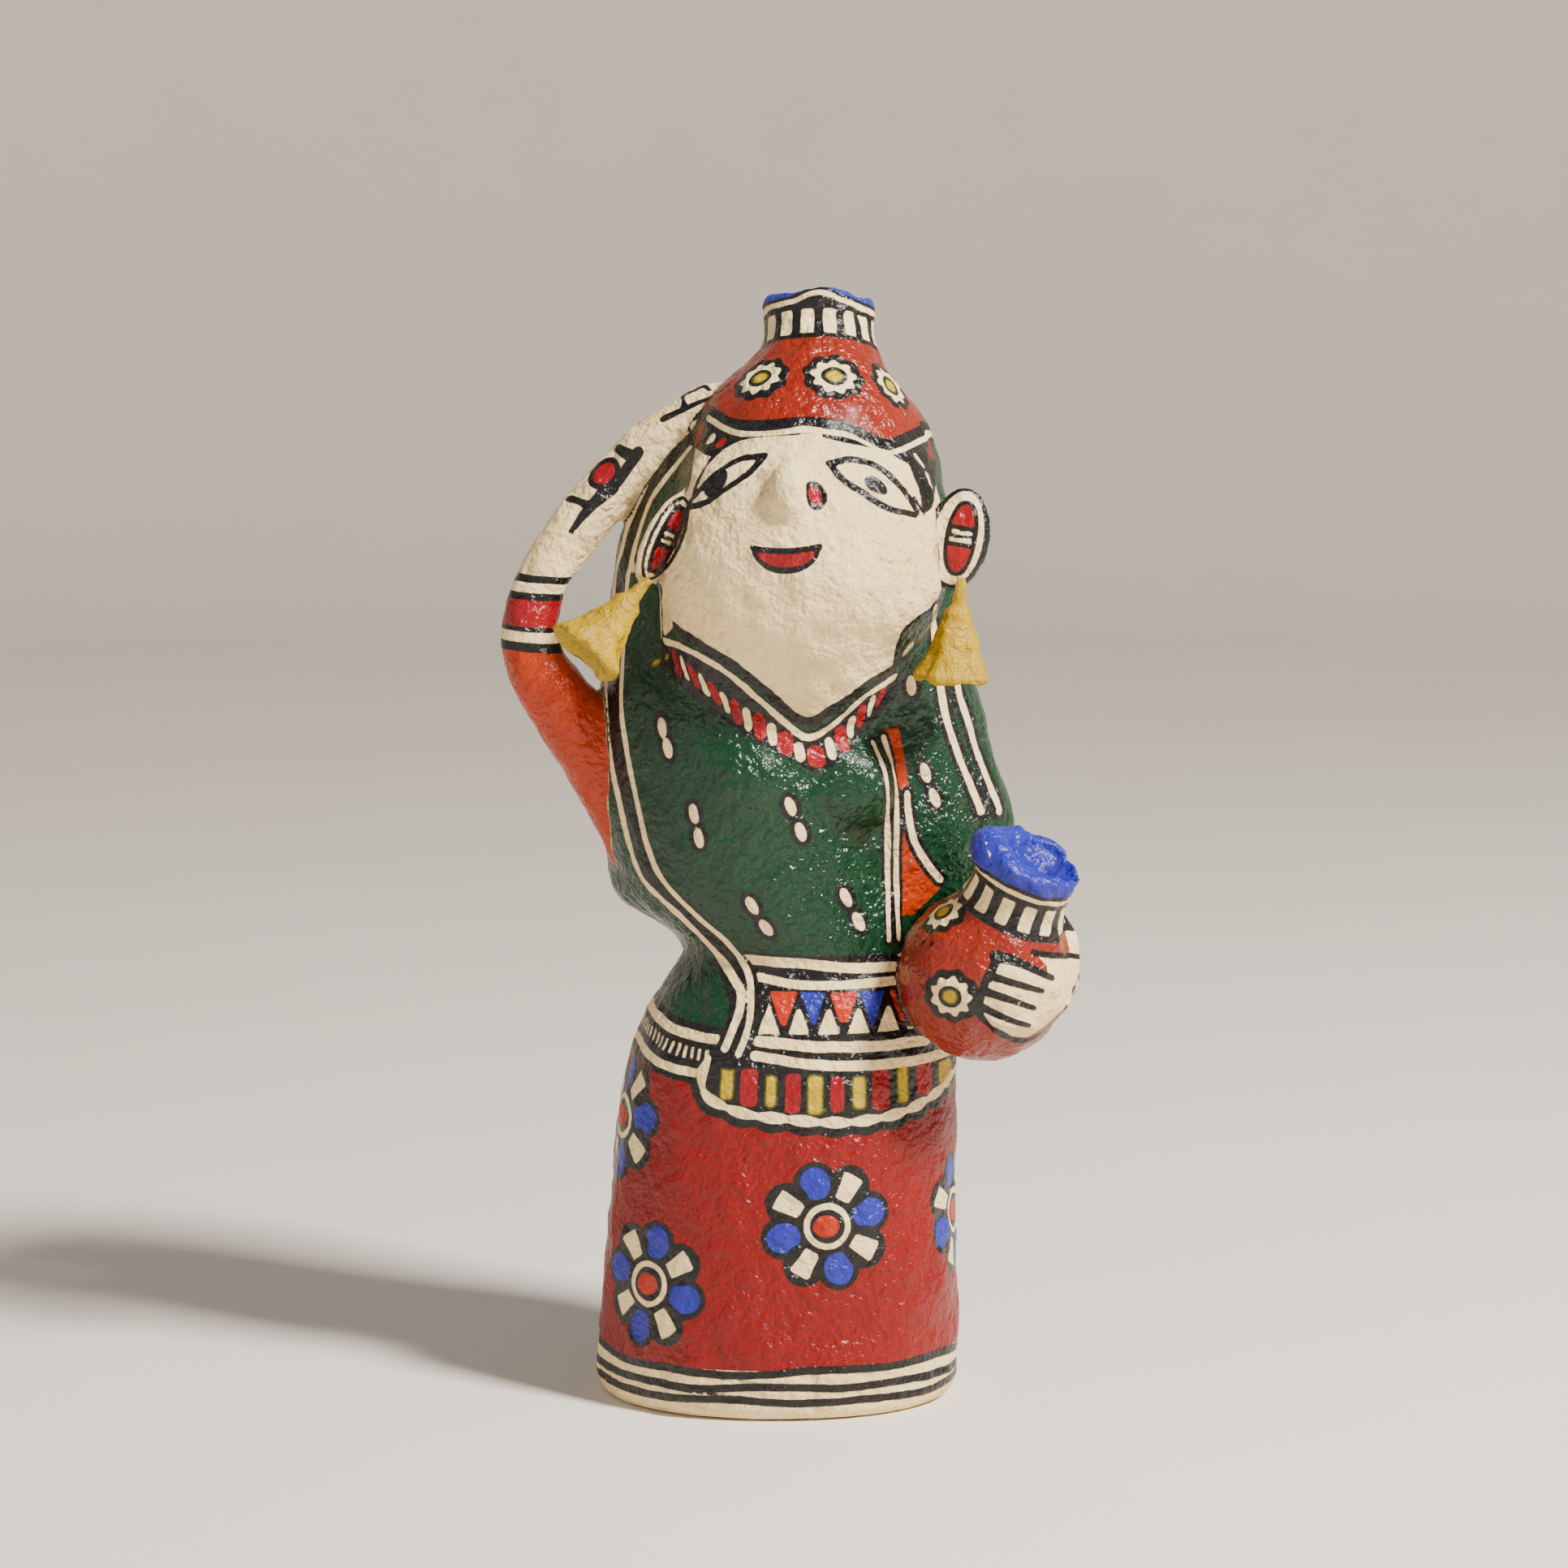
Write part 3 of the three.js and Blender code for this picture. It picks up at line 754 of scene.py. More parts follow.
def apron(skin):
    skin.ground(*skin.fill(APRON))
    for marks, width in (([(-6.9, 104), (6.7, 103.4), (17, 102.3), (28, 102.1)], 2.3),
                         ([(-5.2, 100.3), (6.7, 98.8), (28, 99)], 2.1),
                         ([(-4.4, 86.6), (13, 85.3), (34, 85.1), (40, 85.6)], 2.5),
                         ([(-5, 83.4), (13, 81.2), (36, 81), (41, 81.6)], 2.3)):
        skin.stroke("cream", skin.path(marks), width)
    for i, (cx, top) in row((1.4, 97.6), (35.2, 97), 6):
        near, x, z = skin.card(cx - 8, cx + 8, 84, 101)
        u, v = x - cx - 0.3 * math.sin(3.3 * i), top - z
        half = 3.3 - 0.35 * (i % 2)
        point_down = np.maximum(np.abs(u) - half + 0.36 * v, slab(v, 0.2, 7.6 - 0.5 * (i % 3)))
        skin.cover("blue" if i % 2 else "tangerine", near, np.maximum(point_down, np.hypot(u, v - 2.4) - 5.2))
        u, v = x - cx + 3.3, z - 88.2
        point_up = np.maximum(np.abs(u) - 2.5 + 0.38 * v, slab(v, 0, 5.4 + 2.2 * (i == 0)))
        skin.cover("cream", near, point_up)
    for i, (cx, middle) in row((-11.4, 77.6), (38.4, 76.4), 11):
        middle = middle - 2.3 * math.sin(math.pi * min(1, (i + 0.6) / 9.5))
        near, x, z = skin.card(cx - 5, cx + 5, middle - 9, middle + 9)
        u, v = np.abs(x - cx - 0.05 * (z - middle) * (5 - i) / 5), np.abs(z - middle)
        half, tall = 1.75 + 0.25 * math.sin(2.1 * i), 4.3 + 0.5 * math.cos(1.7 * i) - 0.8 * (i in (0, 10))
        corner = 1.1
        tooth = np.hypot(np.maximum(u - half + corner, 0), np.maximum(v - tall + corner, 0)) - corner
        skin.cover("crimson" if i % 2 else "yellow", near, np.maximum(tooth, np.maximum(u - half, v - tall)))
    near, gap, along = skin.beside(skin.path(SCALLOP), 5)
    bump = np.abs(np.sin(math.pi * along / 7.2))
    skin.cover("ink", near, gap - 2.6 - 0.9 * bump)
    skin.cover("cream", near, gap - 0.7 - 0.65 * bump)


def between(first, second, count=120):
    """The line midway between two lines that run side by side."""
    share = np.linspace(0, 1, count)
    both = [[np.interp(share * (len(line) - 1), range(len(line)), line[:, k]) for k in range(3)] for line in (first, second)]
    return np.mean(both, axis=0).T


def borders(skin):
    """Cream lines on black along the edges of the veil and the blouse."""
    outer = skin.path([(-21.4, 222.4), (-24.9, 218.1), (-28.3, 214), (-31, 208.6), (-33.4, 203), (-35.6, 195), (-37.2, 188),
                       (-38.4, 172), (-39.4, 160), (-38.2, 149), (-36, 139), (-33.6, 129), (-30.4, 121), (-22.5, 113.6),
                       (-14, 104.8), (-9.6, 99.2), (-8.2, 96.6), (-8.6, 92.8), (-10.1, 88.9), (-11.9, 84.8)])
    inner = skin.path([(-19.2, 219.8), (-22.5, 215.6), (-26.1, 211), (-29, 206.4), (-31.3, 200), (-33.4, 192), (-34.4, 186),
                       (-35.2, 171), (-35.4, 160), (-33.8, 149), (-31.7, 139), (-29.6, 130), (-26.2, 122.2), (-19, 114.4),
                       (-11.3, 107.6), (-6.7, 101), (-6, 96), (-6.3, 91), (-7.6, 86.5), (-8.8, 83.6)])
    near, gap, _ = skin.beside(between(outer, inner), 8)
    skin.ground(near, gap - 3.9)
    skin.stroke("cream", outer, 2.0)
    skin.stroke("cream", inner, 1.5)
    skin.lines(skin.path([(-31, 214), (-33.6, 210), (-35.6, 206), (-37, 201), (-38.6, 192)]), 0.9, 0.8)
    skin.stroke("ink", skin.path([(-25.5, 223.2), (-29.1, 220.8), (-31.5, 217.8), (-33.4, 214.4), (-36, 210.4)]), 2.6)
    for marks in ([(35.5, 184), (35.6, 177), (36.6, 168), (38.2, 158.4), (41, 149.5), (44, 142), (46.5, 136), (48.4, 130)],
                  [(40.2, 172), (41.4, 163), (43.4, 156.6), (45.2, 150.4), (47.8, 143.4), (50.4, 137), (52.4, 131)]):
        skin.lines(skin.path(marks), 2.0, 1.5)
    skin.lines(skin.path([(29.4, 141), (29.8, 136), (31.2, 130), (34, 125), (37, 121)]), 1.6, 1.0)
    for marks in ([(21.6, 153), (24.2, 147), (25, 141), (24.9, 134), (25, 122), (25.3, 108)],
                  [(24, 154), (26.2, 147), (27, 141), (27, 133), (27, 122), (27.6, 108)]):
        skin.lines(skin.path(marks), 1.2, 0.8)


def collar(skin):
    """A black line, a cream line, and a black band with upright teeth that grow towards the middle."""
    skin.ground(*skin.fill(COLLAR))
    neckline = skin.path(NECKLINE)
    skin.stroke("ink", neckline, 2.3)
    skin.stroke("cream", skin.path([(-25.6, 176), (-22, 175.7), (-16, 173.3), (-10.1, 169.6), (-4.3, 164.3), (0.4, 159.8),
                                    (4.6, 156), (7.6, 154.9), (12.9, 158), (19.5, 163.9), (26.6, 168)]), 1.6)
    middle = skin.path([(-23.4, 172.3), (-17.9, 168.2), (-13.4, 164.7), (-8.9, 161), (-2.4, 156.8), (4.6, 151.9),
                        (8.6, 150.6), (12.6, 152.8), (17, 157.5), (21, 161.6), (25.6, 165.8)])
    walked = np.concatenate([[0], np.cumsum(np.linalg.norm(np.diff(middle, axis=0), axis=1))])
    at, i = 1.4, 0
    while at < walked[-1] - 1:
        spot = [np.interp(at, walked, middle[:, k]) for k in range(3)]
        grow = math.exp(-(((spot[0] - 6) / 10) ** 2))
        at, i = at + 3.1 + 0.9 * grow, i + 1
        near, u, v = skin.chart(spot, 8)
        u = u + 0.12 * v
        half, tall = (0.95 + 1.15 * grow, 2.9 - 0.8 * grow) if i % 2 else (0.75 + 0.45 * grow, 2.6 - 0.7 * grow)
        skin.cover("crimson" if i % 2 else "cream", near, np.maximum(oval(u, v, half * 1.25, tall * 1.2), np.abs(u) - half))
    for spot in ((-27.4, 170.8), (-24.9, 172.4)):
        skin.blob("yellow", skin.front(*spot), 1.5, 0.9, turn=30)


def drops(skin):
    """Pairs of drops on the blouse and the veil's front, and more of them scattered over the veil's back."""
    for pair in (((-26, 156.9), (-24.7, 152.3)), ((-18.8, 137.8), (-17.7, 132.4)), ((3, 139.7), (5.3, 133.8)),
                 ((-5.7, 117), (-2.6, 111.9)), ((15.5, 118.4), (18.4, 112.7)), ((33.6, 145.6), (35.7, 139.8)),
                 ((29.5, 174.5), (30.3, 165.5))):
        drop_pair(skin, *pair)
    for degrees, z0 in ((118, 150), (150, 128), (150, 176), (180, 150), (178, 200), (-150, 128), (-150, 176),
                        (-120, 152), (148, 204), (-150, 206), (118, 190), (-118, 122), (180, 112)):
        for dx, dz in ((-0.7, 2.5), (0.7, -2.7)):
            skin.blob("cream", skin.around(degrees + dx, z0 + dz), 1.15, 2.35, turn=15, margin=1.25)


# %% [markdown]
# ## The face
# A doll's face: two almond eyes with black pupils, thin brows that run on into the hair line, a crimson
# dab with a black edge beside the nose and a smiling crimson mouth. All of it is a few strokes.

# %% Face and ears


def face(skin):
    eyes = (([(-2.9, 218.9), (-8.4, 218), (-13.8, 214.6), (-19.4, 208.6)],
             [(-3.1, 218.8), (-5.8, 215.6), (-11, 211.9), (-15.6, 208.6), (-19.8, 207.2)], (-13.6, 212.8), 2.4, 3.6, -28),
            ([(11.6, 217.4), (16.5, 218.2), (22.4, 216.4), (27.4, 212), (31.2, 206.2)],
             [(11.8, 217.2), (14.6, 214), (18.8, 211.2), (24.4, 207.6), (30.8, 205.6)], (22.1, 212.7), 3.1, 1.9, -35))
    for upper, lower, pupil, half_u, half_v, turn in eyes:
        skin.stroke("ink", skin.path(upper), 1.9, taper=0.1)
        skin.stroke("ink", skin.path(lower), 1.7, taper=0.1)
        skin.blob("ink", skin.front(*pupil), half_u, half_v, turn=turn)
    skin.stroke("ink", skin.path([(30.6, 209), (33, 205.2)]), 1.5, taper=0.5)
    skin.blob("crimson", skin.front(8.2, 210.7), 1.5, 2.3, turn=-8, margin=1.2)
    near, u, v = skin.chart(skin.front(1.9, 197.6), 14)
    for colour, shrink in (("ink", -0.1), ("crimson", 1.3)):
        t = u / 7.9
        top, bottom = 2.7 + 0.9 * (t * t - 1) + 0.2 * t, -3.7 * np.sqrt(np.clip(1 - t * t, 0, 1)) + 2.1 * np.abs(t) ** 3
        lips = np.maximum.reduce([v - top, bottom - v, (np.abs(u) - 7.9) * 0.8]) + shrink
        skin.cover(colour, near, lips)


def hair_line(skin):
    """The black strip of hair under the head pot, its marks, and the thin line that frames the brow."""
    left = [(-25, 225.8), (-20.7, 228.4), (-16.9, 228.4), (-14.4, 226), (-8, 224.2), (4, 225), (4, 223.6), (-5.9, 222.8),
            (-11.7, 220.4), (-14.2, 217.8), (-16.4, 218.6), (-20.4, 219.8), (-23.4, 221.6)]
    right = [(10, 225.4), (20, 222.6), (25, 220.6), (33, 222.4), (37, 221), (36.4, 214), (34.6, 206.5), (32.6, 205.4),
             (31.6, 211), (29.4, 216.4), (25, 219.2), (19, 220.8), (10, 222.8)]
    for outline in (left, right):
        near, gap = skin.fill(outline)
        skin.ground(near, gap)
    brim = [(x, z) for x, z in BRIM if x > -18]
    skin.stroke("ink", skin.path(brim), 2.4)
    skin.stroke("cream", skin.path([(x + 0.3, z - 1.9) for x, z in brim]), 1.3)
    skin.stroke("ink", skin.path([(-19, 208.8), (-18.2, 211.6), (-17.2, 213.8), (-15.7, 216.3), (-14, 218.4), (-11, 220.7), (-7.7, 222.4), (-2, 223.4),
                                  (5, 223.9)]), 1.2)
    for colour, x0, z0, half_u, half_v, turn in (
            ("cream", -19.9, 224.1, 1.3, 1.5, 30), ("crimson", -17.6, 222.4, 1.25, 2.9, -28),
            ("cream", -14.9, 221.6, 1.1, 1.6, -20), ("crimson", -12.6, 221, 1.1, 1.6, -28),
            ("crimson", 6.8, 224.3, 2.6, 0.7, 0), ("cream", 31.7, 217, 0.9, 2.2, 20),
            ("crimson", 34.6, 217.8, 1.4, 2.6, 15), ("cream", 34.0, 212.6, 0.8, 2.2, 8)):
        skin.blob(colour, skin.front(x0, z0), half_u, half_v, turn=turn)
    skin.stroke("cream", skin.path([(-17.9, 227.9), (-20.7, 226.4), (-23.9, 224.6)]), 1.5, taper=0.7)
    skin.stroke("ink", skin.path([(-26.2, 189), (-26, 182), (-25.8, 176)]), 1.1)
    skin.stroke("ink", skin.path([(26.4, 169), (26.7, 174), (28.2, 179.4), (31.4, 182.6), (35, 184)]), 1.2)


def ears(skin):
    """Each ear has a black rim, a cream ring, and a crimson bean in black with two cream bars across it."""
    _, y, z = skin.points.T
    across, through, up = ear_frame(skin.points, "hip").T
    near = np.flatnonzero((owned(skin.gaps, ["ear_hip"], ["head", "veil"]) < 1.0) & (through < 1.4))
    left = np.flatnonzero((skin.normals[:, 1] < 0.3) & (np.abs(z - 199.6) < 13) & (np.abs(skin.points[:, 0] + 25) < 10))
    a = math.radians(24.5)
    dx, dz = skin.points[left, 0] + 25.0, z[left] - 199.8
    for at, u, v, half_u, half_v, rim, bean_u, bean_v in (
            (near, across[near], up[near], 7.0, 12.0, 1.4, 2.8, 7.7),
            (left, dx * math.cos(a) - dz * math.sin(a), dx * math.sin(a) + dz * math.cos(a), 3.7, 10.4, 0.8, 1.5, 7.4)):
        whole = oval(u, v, half_u, half_v)
        skin.ground(at, whole)
        for colour in ("green", "red"):
            skin.scrape(colour, at, whole)
        skin.cover("cream", at, whole + rim)
        shift = 0.09 * half_u
        bean = oval(u - shift, v, bean_u, bean_v)
        skin.ground(at, bean - 0.9)
        bars = np.minimum(np.abs(v - 1.35), np.abs(v + 0.45))
        skin.cover("crimson", at, np.maximum(bean, 2.4 - np.abs(v - 0.4)))
        skin.cover("cream", at, np.maximum(bars - 0.45, bean + 0.3))


# %% [markdown]
# ## Arms, hand and pots
# The raised arm is orange up to the elbow and cream from there to the hand, with black, cream and
# crimson bangles. The other hand holds the hip pot with four cream fingers drawn apart by black lines.
# Both pots have a black neck with cream bars, daisies round the belly and a lumpy blue rim.

# %% Arms, hand and pots


def raised_arm(skin):
    """Bangles above the elbow, then a few marks on the cream forearm."""
    points, gaps = skin.points, skin.gaps
    x, y, z = points.T
    arm = np.flatnonzero(owned(gaps, ["arm"], ["trunk", "veil", "skirt", "head", "head_pot"]) < 1.2)
    tilt = z[arm] + 0.08 * (x[arm] + 56)
    far_side = x[arm] > -40
    for colour, start, end in (("ink", 172.6, 190.0), ("cream", 186.0, 188.2), ("crimson", 178.2, 184.3),
                               ("cream", 174.8, 177.1)):
        band = slab(tilt, start, end)
        band[far_side] = FAR
        skin.cover(colour, arm, band)
    skin.stroke("ink", skin.path([(-37.8, 219), (-34.8, 217.9), (-31.8, 216.8)]), 2.1)
    skin.blob("crimson", skin.front(-39.4, 212.9), 2.3, 2.9, turn=-40, margin=1.4)
    skin.stroke("ink", skin.path([(-47.4, 207), (-45.2, 206.6), (-43, 205.8)]), 1.8)
    skin.stroke("ink", skin.path([(-31.5, 217.8), (-34, 214.2), (-36.4, 211), (-39, 208.6)]), 2.6)
    skin.stroke("ink", skin.path([(-37.6, 209.8), (-42, 205.8), (-44.6, 202.8), (-46.8, 199.8)]), 3.6, taper=0.65)
    skin.stroke("ink", skin.path([(-26, 225.2), (-21, 227.6), (-15, 230.2)]), 1.7, taper=0.3)
    skin.stroke("ink", skin.path([(-24, 229.4), (-18, 232), (-12, 235)]), 1.6, taper=0.3)


def holding_hand(skin):
    """Bare cream fingers and palm, edged and drawn apart by tapering black strokes."""
    gaps = skin.gaps
    skin.on = np.minimum(np.minimum(gaps["hand"], gaps["fingers"]), gaps["hip_pot"]) < 3
    for marks, width, taper in (([(48.6, 108.6), (52.8, 107.4), (57.5, 105), (61.6, 102.6)], 2.8, 0.5),
                                ([(48.8, 108), (47.8, 105.6), (46.4, 103.2), (45.7, 101), (45, 98.4), (44.7, 96.2),
                                  (45.6, 94.6), (48.1, 92.2), (52.3, 89), (56.4, 88.2), (60.3, 90), (65, 94.6)], 2.0, 0.2),
                                ([(47.6, 104.2), (52.7, 102.5), (59.3, 100)], 2.0, 0.4),
                                ([(46.2, 100.8), (51.6, 98.9), (57.4, 96.3)], 2.0, 0.4),
                                ([(45.8, 97), (51, 94.6), (56.4, 92.3)], 1.9, 0.4),
                                ([(57, 108.8), (60, 108), (63.1, 107.3), (66.6, 106), (70, 105)], 1.5, 0.3)):
        skin.stroke("ink", skin.path(marks), width, taper)
    skin.on = np.ones(len(skin.points), bool)


def neck_bars(skin, across, height, angle, where, low, high, count, half):
    """A black neck with upright cream bars round it."""
    turn = (angle / (2 * math.pi) * count) % 1 - 0.5
    wide = np.abs(turn) * 2 * math.pi * across / count
    bars = np.maximum(wide - half, slab(height, low, high))
    skin.cover("cream", where, bars[where])


def head_pot(skin):
    points = skin.points
    across, height, angle = axis_frame(points, HEAD_POT)
    near = np.flatnonzero((points[:, 2] > 214) & (skin.gaps["arm"] > -1.5))
    skin.cover("ink", near, slab(height[near], -3.6, 12))
    neck_bars(skin, across, height, angle, near, -2.4, 3.4, 15, 1.5)
    peak = 5.3 + 1.6 * np.exp(-((angle / 0.35) ** 2))
    skin.cover("cream", near, (np.abs(height - peak) - 0.6)[near])
    inside = np.maximum(across - 9.6, 2 - height)
    skin.cover("blue", near, np.minimum(peak + 1.4 - height, inside)[near])
    for colour in ("ink", "cream", "crimson"):
        skin.scrape(colour, near, inside[near])
    lower = np.flatnonzero((points[:, 2] > 210) & (skin.gaps["arm"] > 0.5) & (points[:, 1] > -8))
    brim = points[lower, 2] - brim_height(points[lower])
    skin.cover("ink", lower, slab(brim, -3.6, 1.1))
    skin.cover("cream", lower, slab(brim, -2.4, -1.1))
    for degrees, z0 in ((14, 235.9), (-36, 235.2), (62, 233), (118, 231.5), (168, 231), (-142, 231)):
        daisy(skin, skin.around(degrees, z0, middle=(8, 0.5)), 1.05)


def hip_pot(skin):
    across, height, angle = axis_frame(skin.points, HIP_POT)
    neck = np.flatnonzero((height > 14) & (across < 18) & (skin.gaps["hip_pot"] < 6))
    skin.cover("ink", neck, slab(height[neck], 16.2, 27.5))
    neck_bars(skin, across, height, angle, neck, 17.6, 23.6, 13, 1.5)
    skin.cover("cream", neck, np.abs(height[neck] - 25.6) - 0.6)
    inside = np.maximum(across - 9.8, 20 - height)
    skin.cover("blue", neck, np.minimum(27.3 - height, inside)[neck])
    for colour in ("ink", "cream"):
        skin.scrape(colour, neck, inside[neck])
    skin.on = skin.gaps["hip_pot"] < 3
    for x0, z0 in ((37.2, 116.8), (38.4, 99.2)):
        daisy(skin, skin.front(x0, z0), 1.0)
    for x0 in (32.7, 34.5):
        skin.blob("ink", skin.front(x0, 110.3), 0.7, 0.9)
    for degrees in (100, 150, 200, 250):
        a = math.radians(degrees)
        side, away = Vector((0.94, 0.0, -0.34)), Vector((0.08, 0.97, 0.24))
        out = side * math.sin(a) - away * math.cos(a)
        spot, _, _, _ = skin.tree.ray_cast(Vector((47, -25.5, 101.2)) + out * 60, -out, 60)
        if spot is not None:
            daisy(skin, np.array(spot), 1.0)
    skin.on = np.ones(len(skin.points), bool)


# %% [markdown]
# ## Putting the layers on
# The whole order of work is one function, because it runs twice: once to find out where there is fine
# brush work, and again after the skin has been thinned where there is none.

# %% Paint the figure


def paint_figure(obj):
    skin = Paint(obj)
    gaps = skin.gaps
    pots = np.minimum(gaps["hip_pot"] - 0.4, np.minimum(gaps["hand"], gaps["fingers"]))
    on_body = (owned(gaps, ["arm"], ["trunk", "veil", "skirt", "head", "head_pot"]) > 0.2) & (pots > 0.8)
    broad_colours(skin)
    skin.on = on_body
    hem_and_flowers(skin)
    waistband(skin)
    apron(skin)
    borders(skin)
    collar(skin)
    drops(skin)
    face(skin)
    hair_line(skin)
    ears(skin)
    skin.on = np.ones(len(skin.points), bool)
    head_pot(skin)
    raised_arm(skin)
    hip_pot(skin)
    holding_hand(skin)
    return skin


skin = paint_figure(figure)
for colour in COLOURS:
    print("%-10s covers %4.1f%% of the skin" % (colour, 100 * (skin.edge[colour] < 0).mean()))

# %% [markdown]
# ## Thinning the skin
# Crisp brush lines need small faces, but the plain red of the skirt's back doesn't. Decimate takes a
# weight for each point, so it can keep the faces under fine paint and on the rims, and merge the rest.
# The paint is then worked out again on the points that are left.

# %% Thin where the paint is plain


def detail_of(skin):
    """1 where some colour's edge is close, down to 0 well away from every edge."""
    nearest = np.min([np.abs(edge) for edge in skin.edge.values()], axis=0)
    return np.maximum(ramp(nearest, 2.6, 0.6), 0.2)


def thin(obj, weight, ratio):
    group = obj.vertex_groups.new(name="keep")
    for level in range(1, 11):
        chosen = np.flatnonzero(np.round(weight * 10) == level).tolist()
        if chosen:
            group.add(chosen, level / 10, "REPLACE")
    fewer = obj.modifiers.new("thin", "DECIMATE")
    fewer.ratio = ratio
    fewer.vertex_group = "keep"
    fewer.invert_vertex_group = True
    fewer.vertex_group_factor = 6.0
    settle(obj)
    obj.vertex_groups.clear()


def triangles(obj):
    return sum(len(face.vertices) - 2 for face in obj.data.polygons)


keep = np.maximum(detail_of(skin), np.maximum(0.6 * hip_rim, 0.6 * head_rim))
before = triangles(figure)
thin(figure, keep, min(1.0, 190000 / before))
figure.data.polygons.foreach_set("use_smooth", np.ones(len(figure.data.polygons), bool))
skin = paint_figure(figure)
print("triangles: %d before, %d after" % (before, triangles(figure)))

# %% [markdown]
# ## From numbers to attributes
# A material can read numbers that are kept on the points of a mesh. Three at a time fit in a vector, so
# four vectors carry the ten colours and two more: how deep in a crease a point sits, which the material
# turns into painted shade, and how much raw paper shows there.

# %% Store the paint on the mesh


def hollows(obj, rounds=24):
    """How deep each point sits in a hollow, in millimetres, against a smoothed copy of the skin."""
    points, normals = points_of(obj), normals_of(obj)
    edges = np.empty(len(obj.data.edges) * 2, int)
    obj.data.edges.foreach_get("vertices", edges)
    a, b = edges.reshape(-1, 2).T
    count = np.bincount(a, minlength=len(points)) + np.bincount(b, minlength=len(points))
    smooth = points.copy()
    for _ in range(rounds):
        mean = np.stack([np.bincount(a, smooth[b, k], len(points)) + np.bincount(b, smooth[a, k], len(points))
                         for k in range(3)], 1) / count[:, None]
        smooth += 0.6 * (mean - smooth)
    return ((smooth - points) * normals).sum(1)


def store(obj, name, *values):
    columns = np.column_stack(values).astype(np.float32)
    obj.data.attributes.new(name, "FLOAT_VECTOR", "POINT").data.foreach_set("vector", columns.ravel())


edge = skin.edge
depth = hollows(figure)
paper = ramp(owned(skin.gaps, ["head"], ["veil", "trunk", "head_pot", "arm"]), 1, -1)
store(figure, "paint_a", edge["green"], edge["red"], edge["orange"])
store(figure, "paint_b", edge["brick"], edge["ink"], edge["crimson"])
store(figure, "paint_c", edge["blue"], edge["yellow"], edge["tangerine"])
store(figure, "paint_d", edge["cream"], depth, paper)
print("deepest crease: %.1f mm" % depth.max())

# %% [markdown]
# ## A way to write shader maths
# A paint edge in a material is arithmetic on a distance. Wired by hand, a dozen colours would need
# hundreds of lines, so a small class lets the maths be written as maths: adding two Shades makes an Add
# node. One method makes every node, from its type, its settings and what goes into its sockets.

# %% Shader maths


class Shade:
    """One output of a node in a material. Arithmetic with it makes Math nodes."""

    def __init__(self, sheet, socket):
        self.sheet, self.socket = sheet, socket

    def maths(self, operation, *values):
        return self.sheet.node("ShaderNodeMath", {"operation": operation}, dict(enumerate(values)))

    def __add__(self, other):
        return self.maths("ADD", self, other)

    def __radd__(self, other):
        return self.maths("ADD", other, self)

    def __sub__(self, other):
        return self.maths("SUBTRACT", self, other)

    def __rsub__(self, other):
        return self.maths("SUBTRACT", other, self)

    def __mul__(self, other):
        return self.maths("MULTIPLY", self, other)

    def __rmul__(self, other):
        return self.maths("MULTIPLY", other, self)

    def between(self, start, end):
        """0 at start, 1 at end, with a soft S between."""
        settings = {"interpolation_type": "SMOOTHSTEP"}
        return self.sheet.node("ShaderNodeMapRange", settings, {"Value": self, "From Min": start, "From Max": end})


class Sheet:
    """A material and the nodes in it."""

    def __init__(self, material):
        self.material = material
        material.use_nodes = True
        self.tree = material.node_tree
        self.tree.nodes.clear()

    def node(self, kind, settings, inputs, output=0):
        node = self.tree.nodes.new(kind)
        for name, value in settings.items():
            setattr(node, name, value)
        for key, value in inputs.items():
            if isinstance(value, Shade):
                self.tree.links.new(value.socket, node.inputs[key])
            else:
                node.inputs[key].default_value = value
        return Shade(self, node.outputs[output])

    def place(self):
        return self.node("ShaderNodeTexCoord", {}, {}, "Object")

    def noise(self, size, detail=2.0, seed=0.0, rough=0.5):
        """Soft noise about 0, from -0.5 to 0.5. size is in millimetres."""
        inputs = {"Vector": self.place(), "Scale": 1 / (size * MM), "Detail": detail, "W": seed, "Roughness": rough}
        return self.node("ShaderNodeTexNoise", {"noise_dimensions": "4D"}, inputs, "Fac") - 0.5

    def folded(self, size, detail, seed):
        """Noise with sharp valleys, from 0 up, like paper that was wet and pressed down."""
        value = self.noise(size, detail, seed)
        return value.maths("ABSOLUTE", value)

    def stored(self, name):
        """The three numbers kept under a name on the mesh."""
        vector = self.node("ShaderNodeAttribute", {"attribute_name": name}, {}, "Vector")
        node = self.tree.nodes.new("ShaderNodeSeparateXYZ")
        self.tree.links.new(vector.socket, node.inputs[0])
        return [Shade(self, socket) for socket in node.outputs]

    def mix(self, share, first, second):
        """A colour that goes from first to second."""
        return self.node("ShaderNodeMix", {"data_type": "RGBA"}, {0: share, 6: first, 7: second}, 2)

    def scaled(self, colour, amount):
        """A colour made darker or lighter by a factor."""
        return self.node("ShaderNodeVectorMath", {"operation": "SCALE"}, {0: colour, "Scale": amount})

    def finish(self, colour, roughness, height, **fixed):
        """The surface itself. height is fine relief in millimetres."""
        bump = self.node("ShaderNodeBump", {}, {"Strength": 1.0, "Distance": MM, "Height": height})
        inputs = {"Base Color": colour, "Roughness": roughness, "Normal": bump}
        inputs.update({name.replace("_", " "): value for name, value in fixed.items()})
        surface = self.node("ShaderNodeBsdfPrincipled", {}, inputs)
        out = self.tree.nodes.new("ShaderNodeOutputMaterial")
        self.tree.links.new(surface.socket, out.inputs["Surface"])
        return self.material


